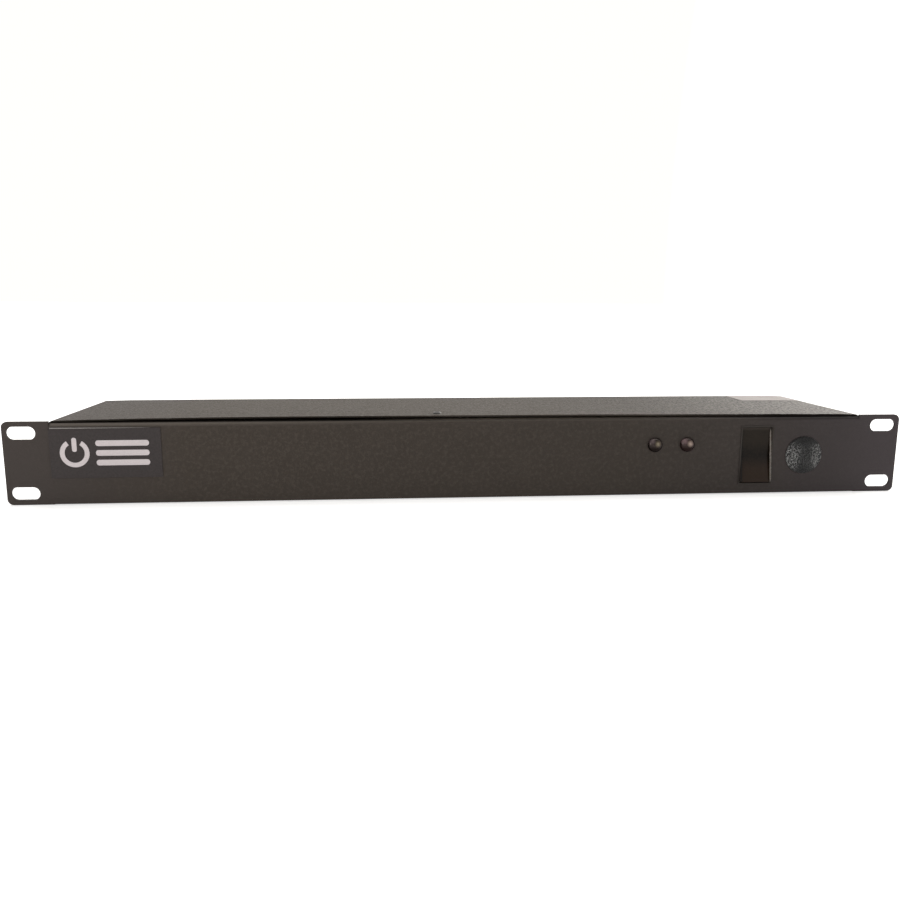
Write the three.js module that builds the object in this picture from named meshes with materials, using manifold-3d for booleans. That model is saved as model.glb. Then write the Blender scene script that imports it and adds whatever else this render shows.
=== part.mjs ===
// 19-inch, 1U rack power strip. Millimetres, +X right seen from the front, +Y to the back, +Z up.
// The origin is the middle of the footprint, on the underside. Shapes are laid out around the centre of the
// front panel's front face, and one group carries that layout to the origin.
import * as THREE from 'three';
import { mergeVertices } from 'three/addons/utils/BufferGeometryUtils.js';
import Module from 'manifold-3d';

const wasm = await Module();
wasm.setup();

// ---------- driving dimensions ----------
const PANEL_W = 482.6;            // across the rack ears (19 in)
const PANEL_H = 43.7;             // one rack unit less its clearance
const SHEET = 1.5;                // formed steel of the tray
const CASE_W = 437.0;             // body between the ears
const CASE_D = 88.9;              // front face to rear wall
const BEND_R = 1.8;               // outer bend radius
const COVER_T = 0.8;              // cover sheet
const COVER_GAP = 0.3;            // open gap between the cover sheet and the flanges below it
const COVER_FRONT = 1.8;          // set-back of the cover's front edge
const GAP = 0.3;                  // running gap between touching pieces
const SLOT_X = 231.9, SLOT_Z = 15.875, SLOT_L = 14.6, SLOT_H = 6.8;   // ear slots
const EAR_R = 3.0;                // ear corner radius
const RELIEF_W = 0.5;             // bend relief beside each ear, above the neck
const LAMP_X = [101.7, 119.8], LAMP_Z = 6.15, LAMP_R = 4.1, LAMP_PROUD = 3.2;
const SW_X = 159.75, SW_Z = -0.65, SW_W = 17.3, SW_H = 32.0, SW_PROUD = 1.2;
const ROCK_Y = 4.6, ROCK_R = 14.3, ROCK_TILT = 6.0;       // rocker pivot depth, end radius, tilt in degrees
const ARM_TILT = 3.75;                                   // contact arm tilt in degrees
const PLUG_X = 187.0, PLUG_Z = -0.45, PLUG_R = 10.35, PLUG_PROUD = 2.6;
const BADGE = { x0: -218.0, x1: -161.9, z0: -7.8, z1: 18.4 };
const LABEL = { x0: 178.3, x1: 216.6, y0: 63.0, y1: 88.2 };
const OUTLETS = 8, OUTLET_X0 = -196.0, OUTLET_PITCH = 44.0;
const INLET_X = 190.0, BREAKER_X = 145.0, BUTTON_END = 9.0;
const COVER_SCREW_X = -17.3, COVER_SCREW_Y = 11.0;
const SIDE_SCREW_Y = [22.0, 68.0], SIDE_SCREW_Z = -15.5;

const D = CASE_D, ZB = -PANEL_H / 2, ZT = PANEL_H / 2;    // bottom and top of the panel
const FLANGE_Z = ZT - COVER_T - COVER_GAP;                     // top of the return flanges
const TRAY_X = CASE_W / 2 - COVER_T - GAP;                // tray half width inside the cover
const FLOOR = ZB + SHEET;                                 // inner face of the bottom
const deg = THREE.MathUtils.degToRad;

// ---------- solids ----------
function solid(geometry) {
  const g = geometry.index ? geometry.toNonIndexed() : geometry.clone();
  for (const k of Object.keys(g.attributes)) if (k !== 'position') g.deleteAttribute(k);
  const m = mergeVertices(g, 1e-4);
  return new wasm.Manifold(new wasm.Mesh({
    numProp: 3,
    vertProperties: new Float32Array(m.attributes.position.array),
    triVerts: new Uint32Array(m.index.array),
  }));
}
function box(x0, x1, y0, y1, z0, z1) {
  const g = new THREE.BoxGeometry(x1 - x0, y1 - y0, z1 - z0);
  g.translate((x0 + x1) / 2, (y0 + y1) / 2, (z0 + z1) / 2);
  return solid(g);
}
function extrude(points, depth, matrix) {
  const g = new THREE.ExtrudeGeometry(new THREE.Shape(points.map((p) => new THREE.Vector2(p[0], p[1]))), { depth, bevelEnabled: false, steps: 1 });
  g.applyMatrix4(matrix);
  return solid(g);
}
// outline in (y, z) along X; in (x, z) along Y; in (x, y) along Z
const prismX = (pts, x0, x1) => extrude(pts, x1 - x0, new THREE.Matrix4().set(0, 0, 1, x0, 1, 0, 0, 0, 0, 1, 0, 0, 0, 0, 0, 1));
const prismY = (pts, y0, y1) => extrude(pts, y1 - y0, new THREE.Matrix4().set(1, 0, 0, 0, 0, 0, -1, y1, 0, 1, 0, 0, 0, 0, 0, 1));
const prismZ = (pts, z0, z1) => extrude(pts, z1 - z0, new THREE.Matrix4().makeTranslation(0, 0, z0));
function cyl(axis, a, b, r, t0, t1, seg = 24) {
  const g = new THREE.CylinderGeometry(r, r, t1 - t0, seg);
  const mid = (t0 + t1) / 2;
  if (axis === 'y') g.translate(a, mid, b);
  if (axis === 'z') { g.rotateX(Math.PI / 2); g.translate(a, b, mid); }
  if (axis === 'x') { g.rotateZ(-Math.PI / 2); g.translate(mid, a, b); }
  return solid(g);
}
// profile of (radius, height) turned about an axis through (a, b)
function turned(axis, a, b, profile, seg = 24) {
  const pts = profile.map((p) => new THREE.Vector2(p[0], p[1]));
  let area = 0;
  pts.forEach((p, i) => { const q = pts[(i + 1) % pts.length]; area += p.x * q.y - q.x * p.y; });
  if (area < 0) pts.reverse();
  if (pts[0].x > 1e-6 || pts[pts.length - 1].x > 1e-6) pts.push(pts[0].clone());
  const g = new THREE.LatheGeometry(pts, seg);
  if (axis === 'y') g.translate(a, 0, b);
  if (axis === 'z') { g.rotateX(Math.PI / 2); g.translate(a, b, 0); }
  if (axis === 'x') { g.rotateZ(-Math.PI / 2); g.translate(0, a, b); }
  return solid(g);
}
function arc(cx, cy, r, a0, a1, n) {
  const out = [];
  for (let i = 0; i <= n; i++) { const a = deg(a0 + (a1 - a0) * i / n); out.push([cx + r * Math.cos(a), cy + r * Math.sin(a)]); }
  return out;
}
function roundRect(cx, cy, w, h, r, n = 4) {
  const x = w / 2 - r, y = h / 2 - r;
  return [...arc(cx + x, cy + y, r, 0, 90, n), ...arc(cx - x, cy + y, r, 90, 180, n), ...arc(cx - x, cy - y, r, 180, 270, n), ...arc(cx + x, cy - y, r, 270, 360, n)];
}
function slotShape(cx, cy, length, height, n = 8) {
  const r = height / 2, x = length / 2 - r;
  return [...arc(cx + x, cy, r, -90, 90, n), ...arc(cx - x, cy, r, 90, 270, n)];
}
function wire(points, r, steps, sides = 6) {
  const curve = new THREE.CatmullRomCurve3(points.map((p) => new THREE.Vector3(...p)), false, 'centripetal');
  const ring = arc(0, 0, r, 0, 360 - 360 / sides, sides - 1).map((p) => new THREE.Vector2(p[0], p[1]));
  return solid(new THREE.ExtrudeGeometry(new THREE.Shape(ring), { steps, bevelEnabled: false, extrudePath: curve }));
}
function spring(x, y0, y1, z, r, wireR, turns) {
  class Helix extends THREE.Curve {
    getPoint(t, target = new THREE.Vector3()) {
      const a = t * turns * 2 * Math.PI;
      return target.set(x + r * Math.cos(a), y0 + (y1 - y0) * t, z + r * Math.sin(a));
    }
  }
  const ring = arc(0, 0, wireR, 0, 288, 4).map((p) => new THREE.Vector2(p[0], p[1]));
  return solid(new THREE.ExtrudeGeometry(new THREE.Shape(ring), { steps: Math.round(turns * 9), bevelEnabled: false, extrudePath: new Helix() }));
}

// ---------- the assembly ----------
const group = new THREE.Group();
const layout = new THREE.Group();
layout.position.set(0, -(D + BUTTON_END - LAMP_PROUD) / 2, PANEL_H / 2);
group.add(layout);

const look = {
  powder_coat: [0x3d3836, 0.62, 0.15], badge: [0x3c3736, 0.38, 0.0], label: [0xcac6c3, 0.6, 0.0],
  screw: [0x2b2a29, 0.35, 0.7], switch_black: [0x2b2826, 0.32, 0.0], rocker: [0x31291f, 0.22, 0.0],
  lens_amber: [0x413935, 0.15, 0.0], lens_red: [0x524743, 0.15, 0.0], plug: [0x393939, 0.6, 0.0],
  outlet: [0x1d1d1e, 0.45, 0.0], brass: [0xb08d4a, 0.35, 1.0], nickel: [0xb9b6ae, 0.3, 1.0],
  steel: [0x9a9a98, 0.35, 1.0], board: [0x2f5a3a, 0.5, 0.0], mov: [0x2a4f86, 0.4, 0.0],
  film: [0xc9a227, 0.5, 0.0], ferrite: [0x4a4844, 0.6, 0.1], insulation_black: [0x161616, 0.5, 0.0],
  insulation_white: [0xd8d6d0, 0.5, 0.0], insulation_green: [0x2f7a3c, 0.5, 0.0], button: [0xe8e5df, 0.35, 0.0],
  nylon: [0xd9d4c6, 0.5, 0.0],
};
function add(name, man, slot, parent = layout) {
  const m = man.getMesh();
  const g = new THREE.BufferGeometry();
  g.setAttribute('position', new THREE.BufferAttribute(new Float32Array(m.vertProperties), 3));
  g.setIndex(new THREE.BufferAttribute(new Uint32Array(m.triVerts), 1));
  g.computeVertexNormals();
  const [color, roughness, metalness] = look[slot];
  const mesh = new THREE.Mesh(g, new THREE.MeshStandardMaterial({ color, roughness, metalness }));
  mesh.name = name;
  parent.add(mesh);
  return mesh;
}

// --- chassis tray: one formed sheet; front panel with the ears, bottom, rear wall and the top return flanges
{
  const R = BEND_R, ri = R - SHEET, n = 5, fl = 12.0;
  const outer = [[fl, FLANGE_Z], ...arc(R, FLANGE_Z - R, R, 90, 180, n), ...arc(R, ZB + R, R, 180, 270, n),
    ...arc(D - R, ZB + R, R, 270, 360, n), ...arc(D - R, FLANGE_Z - R, R, 0, 90, n), [D - fl, FLANGE_Z]];
  const inner = [[D - fl, FLANGE_Z - SHEET], ...arc(D - R, FLANGE_Z - R, ri, 90, 0, n), ...arc(D - R, ZB + R, ri, 360, 270, n),
    ...arc(R, ZB + R, ri, 270, 180, n), ...arc(R, FLANGE_Z - R, ri, 180, 90, n), [fl, FLANGE_Z - SHEET]];
  const bodyHalf = CASE_W / 2 - 0.7;
  let tray = prismX([...outer, ...inner], -bodyHalf, bodyHalf);
  for (const s of [-1, 1]) {
    const a = Math.min(s * TRAY_X, s * (CASE_W / 2 + 1)), b = Math.max(s * TRAY_X, s * (CASE_W / 2 + 1));
    tray = tray.subtract(box(a, b, SHEET, D + 1, ZB - 1, ZT + 1));
    // ear with its neck below the top bend; it meets the bottom bend without a notch
    const xr = bodyHalf + RELIEF_W, xe = PANEL_W / 2, zb = ZB + R + 0.15, zt = FLANGE_Z - R - 0.15;
    const right = [[bodyHalf - 6, zb], [bodyHalf - 0.4, zb], [bodyHalf - 0.4, ZB], ...arc(xe - EAR_R, ZB + EAR_R, EAR_R, 270, 360, 5),
      ...arc(xe - EAR_R, ZT - EAR_R, EAR_R, 0, 90, 5), [xr, ZT], [xr, zt], [bodyHalf - 6, zt]];
    const ear = s > 0 ? right : right.map((p) => [-p[0], p[1]]).reverse();
    tray = tray.add(prismY(ear, 0, SHEET));
    // upturned lip of the bottom, which the cover's side screws enter
    const l0 = Math.min(s * TRAY_X, s * (TRAY_X - 1.5)), l1 = Math.max(s * TRAY_X, s * (TRAY_X - 1.5));
    tray = tray.add(box(l0, l1, 12, D - 8, ZB + 0.6, ZB + 10.5));
    for (const y of SIDE_SCREW_Y) tray = tray.subtract(cyl('x', y, SIDE_SCREW_Z, 1.6, s > 0 ? TRAY_X - 3 : -TRAY_X - 3, s > 0 ? TRAY_X + 3 : -TRAY_X + 3, 12));
    for (const t of [-1, 1]) tray = tray.subtract(prismY(slotShape(s * SLOT_X, t * SLOT_Z, SLOT_L, SLOT_H), -2, 4));
  }
  // screw tab behind the front flange
  tray = tray.add(box(COVER_SCREW_X - 9, COVER_SCREW_X + 9, fl - 2, COVER_SCREW_Y + 6, FLANGE_Z - SHEET, FLANGE_Z));
  tray = tray.subtract(cyl('z', COVER_SCREW_X, COVER_SCREW_Y, 1.6, FLANGE_Z - 4, FLANGE_Z + 2, 12));
  // front cutouts
  for (const x of LAMP_X) tray = tray.subtract(cyl('y', x, LAMP_Z, 3.6, -2, 4, 20));
  tray = tray.subtract(prismY(roundRect(SW_X, SW_Z, 16.5, 31.0, 0.8, 2), -2, 4));
  tray = tray.subtract(cyl('y', PLUG_X, PLUG_Z, 9.4, -2, 4, 32));
  // rear cutouts
  for (let i = 0; i < OUTLETS; i++) tray = tray.subtract(box(OUTLET_X0 + i * OUTLET_PITCH - 17.3, OUTLET_X0 + i * OUTLET_PITCH + 17.3, D - 4, D + 2, -12.8, 12.8));
  tray = tray.subtract(box(INLET_X - 14.3, INLET_X + 14.3, D - 4, D + 2, -10.6, 10.6));
  for (const s of [-1, 1]) tray = tray.subtract(cyl('y', INLET_X + s * 20, 0, 1.6, D - 4, D + 2, 12));
  tray = tray.subtract(cyl('y', BREAKER_X, 0, 5.2, D - 4, D + 2, 20));
  add('chassis_tray', tray, 'powder_coat');
}

// --- top cover: inverted channel over the tray, front edge set back from the panel
{
  const h = CASE_W / 2, ro = 1.8, t = COVER_T, n = 4, zb = ZB + GAP;
  const pts = [[h, zb], ...arc(h - ro, ZT - ro, ro, 0, 90, n), ...arc(-h + ro, ZT - ro, ro, 90, 180, n), [-h, zb],
    [-h + t, zb], ...arc(-h + ro, ZT - ro, ro - t, 180, 90, n), ...arc(h - ro, ZT - ro, ro - t, 90, 0, n), [h - t, zb]];
  let cover = prismY(pts, COVER_FRONT, D);
  cover = cover.subtract(cyl('z', COVER_SCREW_X, COVER_SCREW_Y, 1.6, ZT - 4, ZT + 2, 12));
  for (const s of [-1, 1]) for (const y of SIDE_SCREW_Y) cover = cover.subtract(cyl('x', y, SIDE_SCREW_Z, 1.6, s > 0 ? h - 3 : -h - 3, s > 0 ? h + 3 : -h + 3, 12));
  add('top_cover', cover, 'powder_coat');
}

// --- badge plate and rating label
add('badge_plate', box(BADGE.x0, BADGE.x1, -0.75, -0.25, BADGE.z0, BADGE.z1), 'badge');
add('rating_label', box(LABEL.x0, LABEL.x1, LABEL.y0, LABEL.y1, ZT + 0.2, ZT + 0.4), 'label');

// --- cover screws: shallow round head, turned about the screw's own axis
function screw(axis, a, b, seat, dir, r = 2.8, h = 1.3, shank = 1.25, len = 5.5) {
  const p = [[0, -len], [shank, -len], [shank, 0.2], [r, 0.2], [r, 0.2 + h * 0.45], [r * 0.72, 0.2 + h * 0.88], [0, 0.2 + h]];
  const s = turned(axis, a, b, p.map((q) => [q[0], q[1]]), 14);
  const put = { x: [seat, 0, 0], y: [0, seat, 0], z: [0, 0, seat] }[axis];
  const flip = dir < 0 ? s.mirror({ x: [1, 0, 0], y: [0, 1, 0], z: [0, 0, 1] }[axis]) : s;
  return flip.translate(put);
}
add('cover_screw_front', screw('z', COVER_SCREW_X, COVER_SCREW_Y, ZT, 1, 2.4, 1.75), 'screw');
for (const [side, s] of [['left', -1], ['right', 1]]) SIDE_SCREW_Y.forEach((y, i) =>
  add(`cover_screw_${side}_${i ? 'back' : 'fore'}`, screw('x', y, SIDE_SCREW_Z, s * CASE_W / 2, s), 'screw'));

// --- indicator lamps
['left', 'right'].forEach((side, i) => {
  const x = LAMP_X[i], f = -GAP, p = LAMP_PROUD - GAP;
  add(`lamp_${side}_lens`, turned('y', x, LAMP_Z, [[0, f - p], [1.5, f - p * 0.94], [2.7, f - p * 0.76], [3.6, f - p * 0.45], [LAMP_R - 0.1, f - 0.5], [LAMP_R, f - 0.1],
    [LAMP_R - 0.1, f], [3.25, f], [3.25, 5.5], [0, 5.5]], 20), i ? 'lens_red' : 'lens_amber');
  add(`lamp_${side}_body`, turned('y', x, LAMP_Z, [[0, 5.8], [3.9, 5.8], [3.9, 1.8], [5.2, 1.8], [5.2, 3.0], [4.7, 8.0], [4.7, 18], [3.0, 20], [0, 20]].map((q) => q), 16)
    .subtract(cyl('y', x, LAMP_Z, 3.55, 1, 5.9, 16)), 'nylon');
});
add('lamp_left_leads', wire([[LAMP_X[0], 20.3, LAMP_Z], [LAMP_X[0], 27, 5], [98.5, 33, -1], [91, 37, -7], [86, 38, -9.5], [85.5, 38, -12.9]], 0.9, 14), 'insulation_black');
add('lamp_right_leads', wire([[LAMP_X[1], 20.3, LAMP_Z], [LAMP_X[1], 27, 5], [110, 35, 0], [97, 45, -6], [87, 48, -9], [85.5, 48, -12.9]], 0.9, 14), 'insulation_black');

// --- rocker switch
{
  const oy = 23.2;                          // back of the housing
  let h = prismY(roundRect(SW_X, SW_Z, SW_W, SW_H, 0.8, 3), -SW_PROUD, -GAP).add(box(SW_X - 7.95, SW_X + 7.95, -1, oy, SW_Z - 15.2, SW_Z + 15.2));
  h = h.subtract(box(SW_X - 7.25, SW_X + 7.25, -4, oy - 1.6, SW_Z - 14.6, SW_Z + 14.6));
  h = h.subtract(cyl('x', ROCK_Y, SW_Z, 1.85, SW_X - 10, SW_X + 10, 16));
  for (const z of [SW_Z, SW_Z - 8.4]) h = h.subtract(box(SW_X - 3.4, SW_X + 3.4, oy - 4, oy + 2, z - 0.75, z + 0.75));
  add('switch_housing', h, 'switch_black');
  for (const [nm, z, y0] of [['feed', SW_Z, 16.3], ['load', SW_Z - 8.4, 17.3]]) add(`switch_terminal_${nm}`, box(SW_X - 3, SW_X + 3, y0, 32, z - 0.4, z + 0.4), 'brass');

  // rocker with its spring and plunger, turned together about the trunnions
  const rocker = new THREE.Group();
  rocker.position.set(SW_X, ROCK_Y, SW_Z);
  rocker.rotation.x = -deg(ROCK_TILT);
  layout.add(rocker);
  const yEnd = -4.6, zEnd = Math.sqrt(ROCK_R ** 2 - yEnd ** 2), a0 = Math.atan2(zEnd, yEnd) * 180 / Math.PI;
  const face = [];
  for (let i = -6; i <= 6; i++) { const t = i / 6; face.push([-3.1 - 1.5 * Math.abs(t) ** 1.15, -zEnd * t]); }
  const prof = [...face, ...arc(0, 0, ROCK_R, 360 - a0, 360 - 82, 4), [3.2, -6], [5.2, -4.2], [5.2, 4.2], [3.2, 6], ...arc(0, 0, ROCK_R, 82, a0, 4).slice(0, -1)];
  let r = prismX(prof.reverse(), -6.95, 6.95).add(cyl('x', 0, 0, 1.5, -7.75, 7.75, 16));
  r = r.subtract(cyl('y', 0, 0, 1.8, -1.0, 7, 14));
  add('switch_rocker', r, 'rocker', rocker);
  add('switch_plunger', turned('y', 0, 0, [[0, 2.6], [1.45, 2.6], [1.45, 8.6], [1.0, 9.3], [0, 9.6]], 12), 'brass', rocker);
  add('switch_spring', spring(0, -0.6, 2.1, 0, 1.1, 0.22, 3), 'steel', rocker);

  // see-saw contact arm behind the plunger
  const arm = new THREE.Group();
  arm.position.set(SW_X, ROCK_Y + 10.6, SW_Z);
  arm.rotation.x = deg(ARM_TILT);
  layout.add(arm);
  add('switch_contact_arm', box(-2.5, 2.5, -0.4, 0.4, -8.6, 8.6).add(cyl('y', 0, -7.2, 1.4, -0.2, 1.2, 10)).add(cyl('y', 0, 7.2, 1.4, -0.2, 1.2, 10)), 'brass', arm);
}

// --- domed hole plug with snap prongs behind the panel
{
  let p = turned('y', PLUG_X, PLUG_Z, [[0, -PLUG_PROUD], [3.5, -PLUG_PROUD + 0.12], [6.5, -PLUG_PROUD + 0.5], [8.8, -PLUG_PROUD + 1.1], [9.95, -PLUG_PROUD + 1.75], [PLUG_R, -0.5], [PLUG_R, -GAP],
    [9.0, -GAP], [9.0, 1.9], [9.9, 2.5], [8.9, 6.5], [7.8, 6.5], [7.8, -0.2], [6.0, -0.9], [0, -1.2]], 32);
  for (const a of [0, 1]) p = p.subtract(a ? box(PLUG_X - 1.5, PLUG_X + 1.5, 1.2, 8, -12, 12) : box(PLUG_X - 12, PLUG_X + 12, 1.2, 8, -1.5, 1.5));
  add('hole_plug', p, 'plug');
}

// --- rear outlets: snap-in grounded receptacles laid on their sides
for (let i = 0; i < OUTLETS; i++) {
  const x = OUTLET_X0 + i * OUTLET_PITCH;
  let o = prismY(roundRect(x, 0, 38, 27.4, 2, 3), D + GAP, D + 2.4).add(prismY(roundRect(x, 0, 34, 24, 3, 3), D + 2, D + 3.6)).add(box(x - 17, x + 17, D - 24, D + 1, -12.5, 12.5));
  o = o.subtract(box(x - 9.2, x - 0.8, D - 14, D + 6, 5.1, 7.5)).subtract(box(x - 8.6, x - 1.4, D - 14, D + 6, -7.5, -5.1));
  o = o.subtract(cyl('y', x + 6.9, 0, 2.7, D - 14, D + 6, 12)).subtract(box(x + 4.2, x + 6.9, D - 14, D + 6, -2.7, 2.7));
  add(`outlet_${i + 1}`, o, 'outlet');
}
// bus bars across the inner ends of the outlets
[['line', 8.2], ['ground', 0], ['neutral', -8.2]].forEach(([nm, z]) =>
  add(`bus_bar_${nm}`, box(OUTLET_X0 - 12, 134, D - 25.1, D - 24.3, z - 2.6, z + 2.6), nm === 'ground' ? 'nickel' : 'brass'));

// --- appliance inlet
{
  const x = INLET_X;
  const hex = (w, h, c) => [[x - w / 2, -h / 2], [x + w / 2, -h / 2], [x + w / 2, h / 2 - c], [x + w / 2 - c, h / 2], [x - w / 2 + c, h / 2], [x - w / 2, h / 2 - c]];
  const flange = [...arc(x + 20, 0, 5, -62, 62, 5), [x + 14.6, 12], [x - 14.6, 12], ...arc(x - 20, 0, 5, 118, 242, 5), [x - 14.6, -12], [x + 14.6, -12]];
  let b = prismY(flange, D + GAP, D + 3.4).add(box(x - 14, x + 14, D - 18, D + 1, -10.3, 10.3));
  b = b.subtract(prismY(hex(24.8, 17.0, 4.5), D - 13.6, D + 6));
  for (const [px, pz] of [[-7, -2], [7, -2], [0, 2]]) b = b.subtract(box(x + px - 1.35, x + px + 1.35, D - 20, D - 12, pz - 2.35, pz + 2.35));
  for (const s of [-1, 1]) b = b.subtract(cyl('y', x + s * 20, 0, 1.65, D - 2, D + 6, 12)).subtract(turned('y', x + s * 20, 0, [[0, D + 1.2], [1.65, D + 1.2], [3.9, D + 3.5], [3.9, D + 5], [0, D + 5]], 16));
  add('inlet_body', b, 'outlet');
  for (const [nm, px, pz] of [['line', -7, -2], ['neutral', 7, -2], ['ground', 0, 2]])
    add(`inlet_pin_${nm}`, prismX([[D - 28, pz - 2], [D - 1.6, pz - 2], [D - 0.6, pz - 1.2], [D - 0.6, pz + 1.2], [D - 1.6, pz + 2], [D - 28, pz + 2]], x + px - 1, x + px + 1), 'nickel');
  for (const [nm, s] of [['left', -1], ['right', 1]])
    add(`inlet_screw_${nm}`, turned('y', x + s * 20, 0, [[0, D - 6], [1.25, D - 6], [1.25, D + 1.35], [3.25, D + 3.35], [3.25, D + 3.6], [0, D + 3.9]], 14), 'nickel');
}

// --- push-to-reset circuit breaker
{
  const x = BREAKER_X;
  let b = box(x - 7, x + 7, D - 26, D - 1.8, -11, 11).add(cyl('y', x, 0, 4.9, D - 3, D + 6.4, 20));
  b = b.subtract(cyl('y', x, 0, 3.4, D - 13, D + 8, 16));
  for (const z of [-6, 6]) b = b.add(box(x - 3, x + 3, D - 34, D - 25, z - 0.4, z + 0.4));
  add('breaker_body', b, 'outlet');
  const hexa = arc(x, 0, 8, 0, 300, 5);
  add('breaker_nut', prismY(hexa, D + GAP, D + 2.8).subtract(cyl('y', x, 0, 5.25, D - 1, D + 5, 20)), 'nickel');
  add('breaker_button', turned('y', x, 0, [[0, D - 6], [3.0, D - 6], [3.0, D + 8.2], [2.4, D + BUTTON_END - 0.2], [0, D + BUTTON_END]], 16), 'button');
  add('breaker_spring', spring(x, D - 12.4, D - 6.7, 0, 2.4, 0.35, 4), 'steel');
}

// --- surge board on its standoffs
add('surge_board', box(20, 95, 22, 62, -15.1, -13.5), 'board');
add('varistor_1', cyl('y', 30, -6.2, 7, 30, 34.5, 20), 'mov');
add('varistor_2', cyl('y', 48, -6.2, 7, 30, 34.5, 20), 'mov');
add('filter_capacitor', box(58, 76, 28, 36.5, -13.2, 1.8), 'film');
add('choke_ring', turned('z', 40, 50, [[5, -13.2], [11, -13.2], [11, -3.2], [5, -3.2]], 20), 'ferrite');
add('board_standoff_left', cyl('z', 26, 27, 3, FLOOR + GAP, -15.4, 6), 'nickel');
add('board_standoff_right', cyl('z', 89, 57, 3, FLOOR + GAP, -15.4, 6), 'nickel');

// --- case ground
add('ground_stud', turned('z', 172, 38, [[0, FLOOR + GAP], [4, FLOOR + GAP], [4, FLOOR + 1.5], [2, FLOOR + 1.5], [2, -8.5], [0, -8.5]], 14), 'steel');
add('ground_nut', prismZ(arc(172, 38, 3.9, 0, 300, 5), -13, -10.2).subtract(cyl('z', 172, 38, 2.3, -15, -8, 14)), 'nickel');

// --- internal wiring
const yIn = D - 28.3, yBr = D - 34.3, yBus = D - 25.4;
add('wire_inlet_to_breaker', wire([[183, yIn, -2], [183, 54, -3], [176, 47.5, -5], [160, 44, -6], [149, 44.5, -6], [145, 48, -6], [145, yBr, -6]], 1.3, 22), 'insulation_black');
add('wire_breaker_to_switch', wire([[145, yBr, 6], [145.3, 50, 6], [151, 43, 4], [158, 38, 0.5], [SW_X, 35, SW_Z], [SW_X, 32.3, SW_Z]], 1.3, 18), 'insulation_black');
add('wire_switch_to_bus', wire([[SW_X, 32.3, SW_Z - 8.4], [SW_X, 36, SW_Z - 9], [150, 40, -11.5], [135, 46, -7], [128, 54, 3], [127, 59, 7.6], [127, yBus, 8.2]], 1.3, 22), 'insulation_black');
add('wire_neutral_to_bus', wire([[197, yIn, -2], [197, 54, -4], [190, 46, -11], [172, 46.5, -16], [152, 47, -17.3], [136, 51, -15], [128, 56.5, -9.5], [128, yBus, -8.2]], 1.3, 24), 'insulation_white');
add('wire_inlet_to_stud', wire([[190, yIn, 2], [190, 56, 2], [189, 49, 0], [184, 44, -6], [179, 41, -13], [176.3, 39.5, -15.6]], 1.3, 18), 'insulation_green');
add('wire_stud_to_bus', wire([[167.8, 37, -15.6], [155, 34, -17.5], [135, 37, -17.5], [122, 46, -12], [118, 54.5, -3.5], [118, 59.5, -0.2], [118, yBus, 0]], 1.3, 20), 'insulation_green');

export default group;
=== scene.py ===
import bpy, bmesh, math
from mathutils import Vector, Matrix, noise


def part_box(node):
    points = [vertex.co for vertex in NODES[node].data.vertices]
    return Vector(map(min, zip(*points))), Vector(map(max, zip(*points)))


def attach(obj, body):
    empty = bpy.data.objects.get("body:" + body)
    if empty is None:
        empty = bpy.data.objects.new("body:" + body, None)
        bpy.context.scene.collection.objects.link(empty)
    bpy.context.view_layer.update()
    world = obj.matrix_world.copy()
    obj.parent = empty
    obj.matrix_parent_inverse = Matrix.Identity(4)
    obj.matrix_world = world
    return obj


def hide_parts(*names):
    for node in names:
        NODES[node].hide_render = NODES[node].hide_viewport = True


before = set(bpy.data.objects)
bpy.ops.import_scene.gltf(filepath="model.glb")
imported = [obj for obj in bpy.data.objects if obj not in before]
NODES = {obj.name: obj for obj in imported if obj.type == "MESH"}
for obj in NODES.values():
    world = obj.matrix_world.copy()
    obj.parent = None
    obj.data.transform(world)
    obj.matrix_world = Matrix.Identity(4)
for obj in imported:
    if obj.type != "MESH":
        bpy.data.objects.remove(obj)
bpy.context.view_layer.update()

S = bpy.context.scene

# The CAD layout is drawn round the centre of the panel's front face. These carry it to the frame, in metres.
_lo, _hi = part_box("chassis_tray")
YS = _lo.y * 1000.0
ZT = 21.85
ZS = _hi.z * 1000.0 - ZT
D = 88.9
ZB = -21.85


def M(x, y, z):
    return Vector((x / 1000.0, (y + YS) / 1000.0, (z + ZS) / 1000.0))


# ------------------------------------------------------------------ mesh helpers (layout millimetres in, metres out)
def obj_from(name, bm):
    bmesh.ops.remove_doubles(bm, verts=bm.verts, dist=1e-7)
    bmesh.ops.recalc_face_normals(bm, faces=bm.faces)
    me = bpy.data.meshes.new(name)
    bm.to_mesh(me)
    bm.free()
    o = bpy.data.objects.new(name, me)
    S.collection.objects.link(o)
    return o


def place(axis, u, v, t):
    if axis == "x":
        return M(t, u, v)      # outline in (y, z)
    if axis == "y":
        return M(u, t, v)      # outline in (x, z)
    return M(u, v, t)          # outline in (x, y)


def clean(pts, eps=1e-5):
    out = []
    for p in pts:
        if not out or abs(p[0] - out[-1][0]) > eps or abs(p[1] - out[-1][1]) > eps:
            out.append(p)
    if abs(out[0][0] - out[-1][0]) < eps and abs(out[0][1] - out[-1][1]) < eps:
        out.pop()
    return out


def prism(axis, pts, t0, t1, bm=None):
    bm = bm or bmesh.new()
    pts = clean(pts)
    a = [bm.verts.new(place(axis, p[0], p[1], t0)) for p in pts]
    b = [bm.verts.new(place(axis, p[0], p[1], t1)) for p in pts]
    n = len(pts)
    f0 = bm.faces.new(a)
    f1 = bm.faces.new(list(reversed(b)))
    side = [bm.faces.new((a[i], b[i], b[(i + 1) % n], a[(i + 1) % n])) for i in range(n)]
    bmesh.ops.recalc_face_normals(bm, faces=[f0, f1] + side)
    return bm


def box(x0, x1, y0, y1, z0, z1, bm=None):
    return prism("z", [(x0, y0), (x1, y0), (x1, y1), (x0, y1)], z0, z1, bm)


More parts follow.
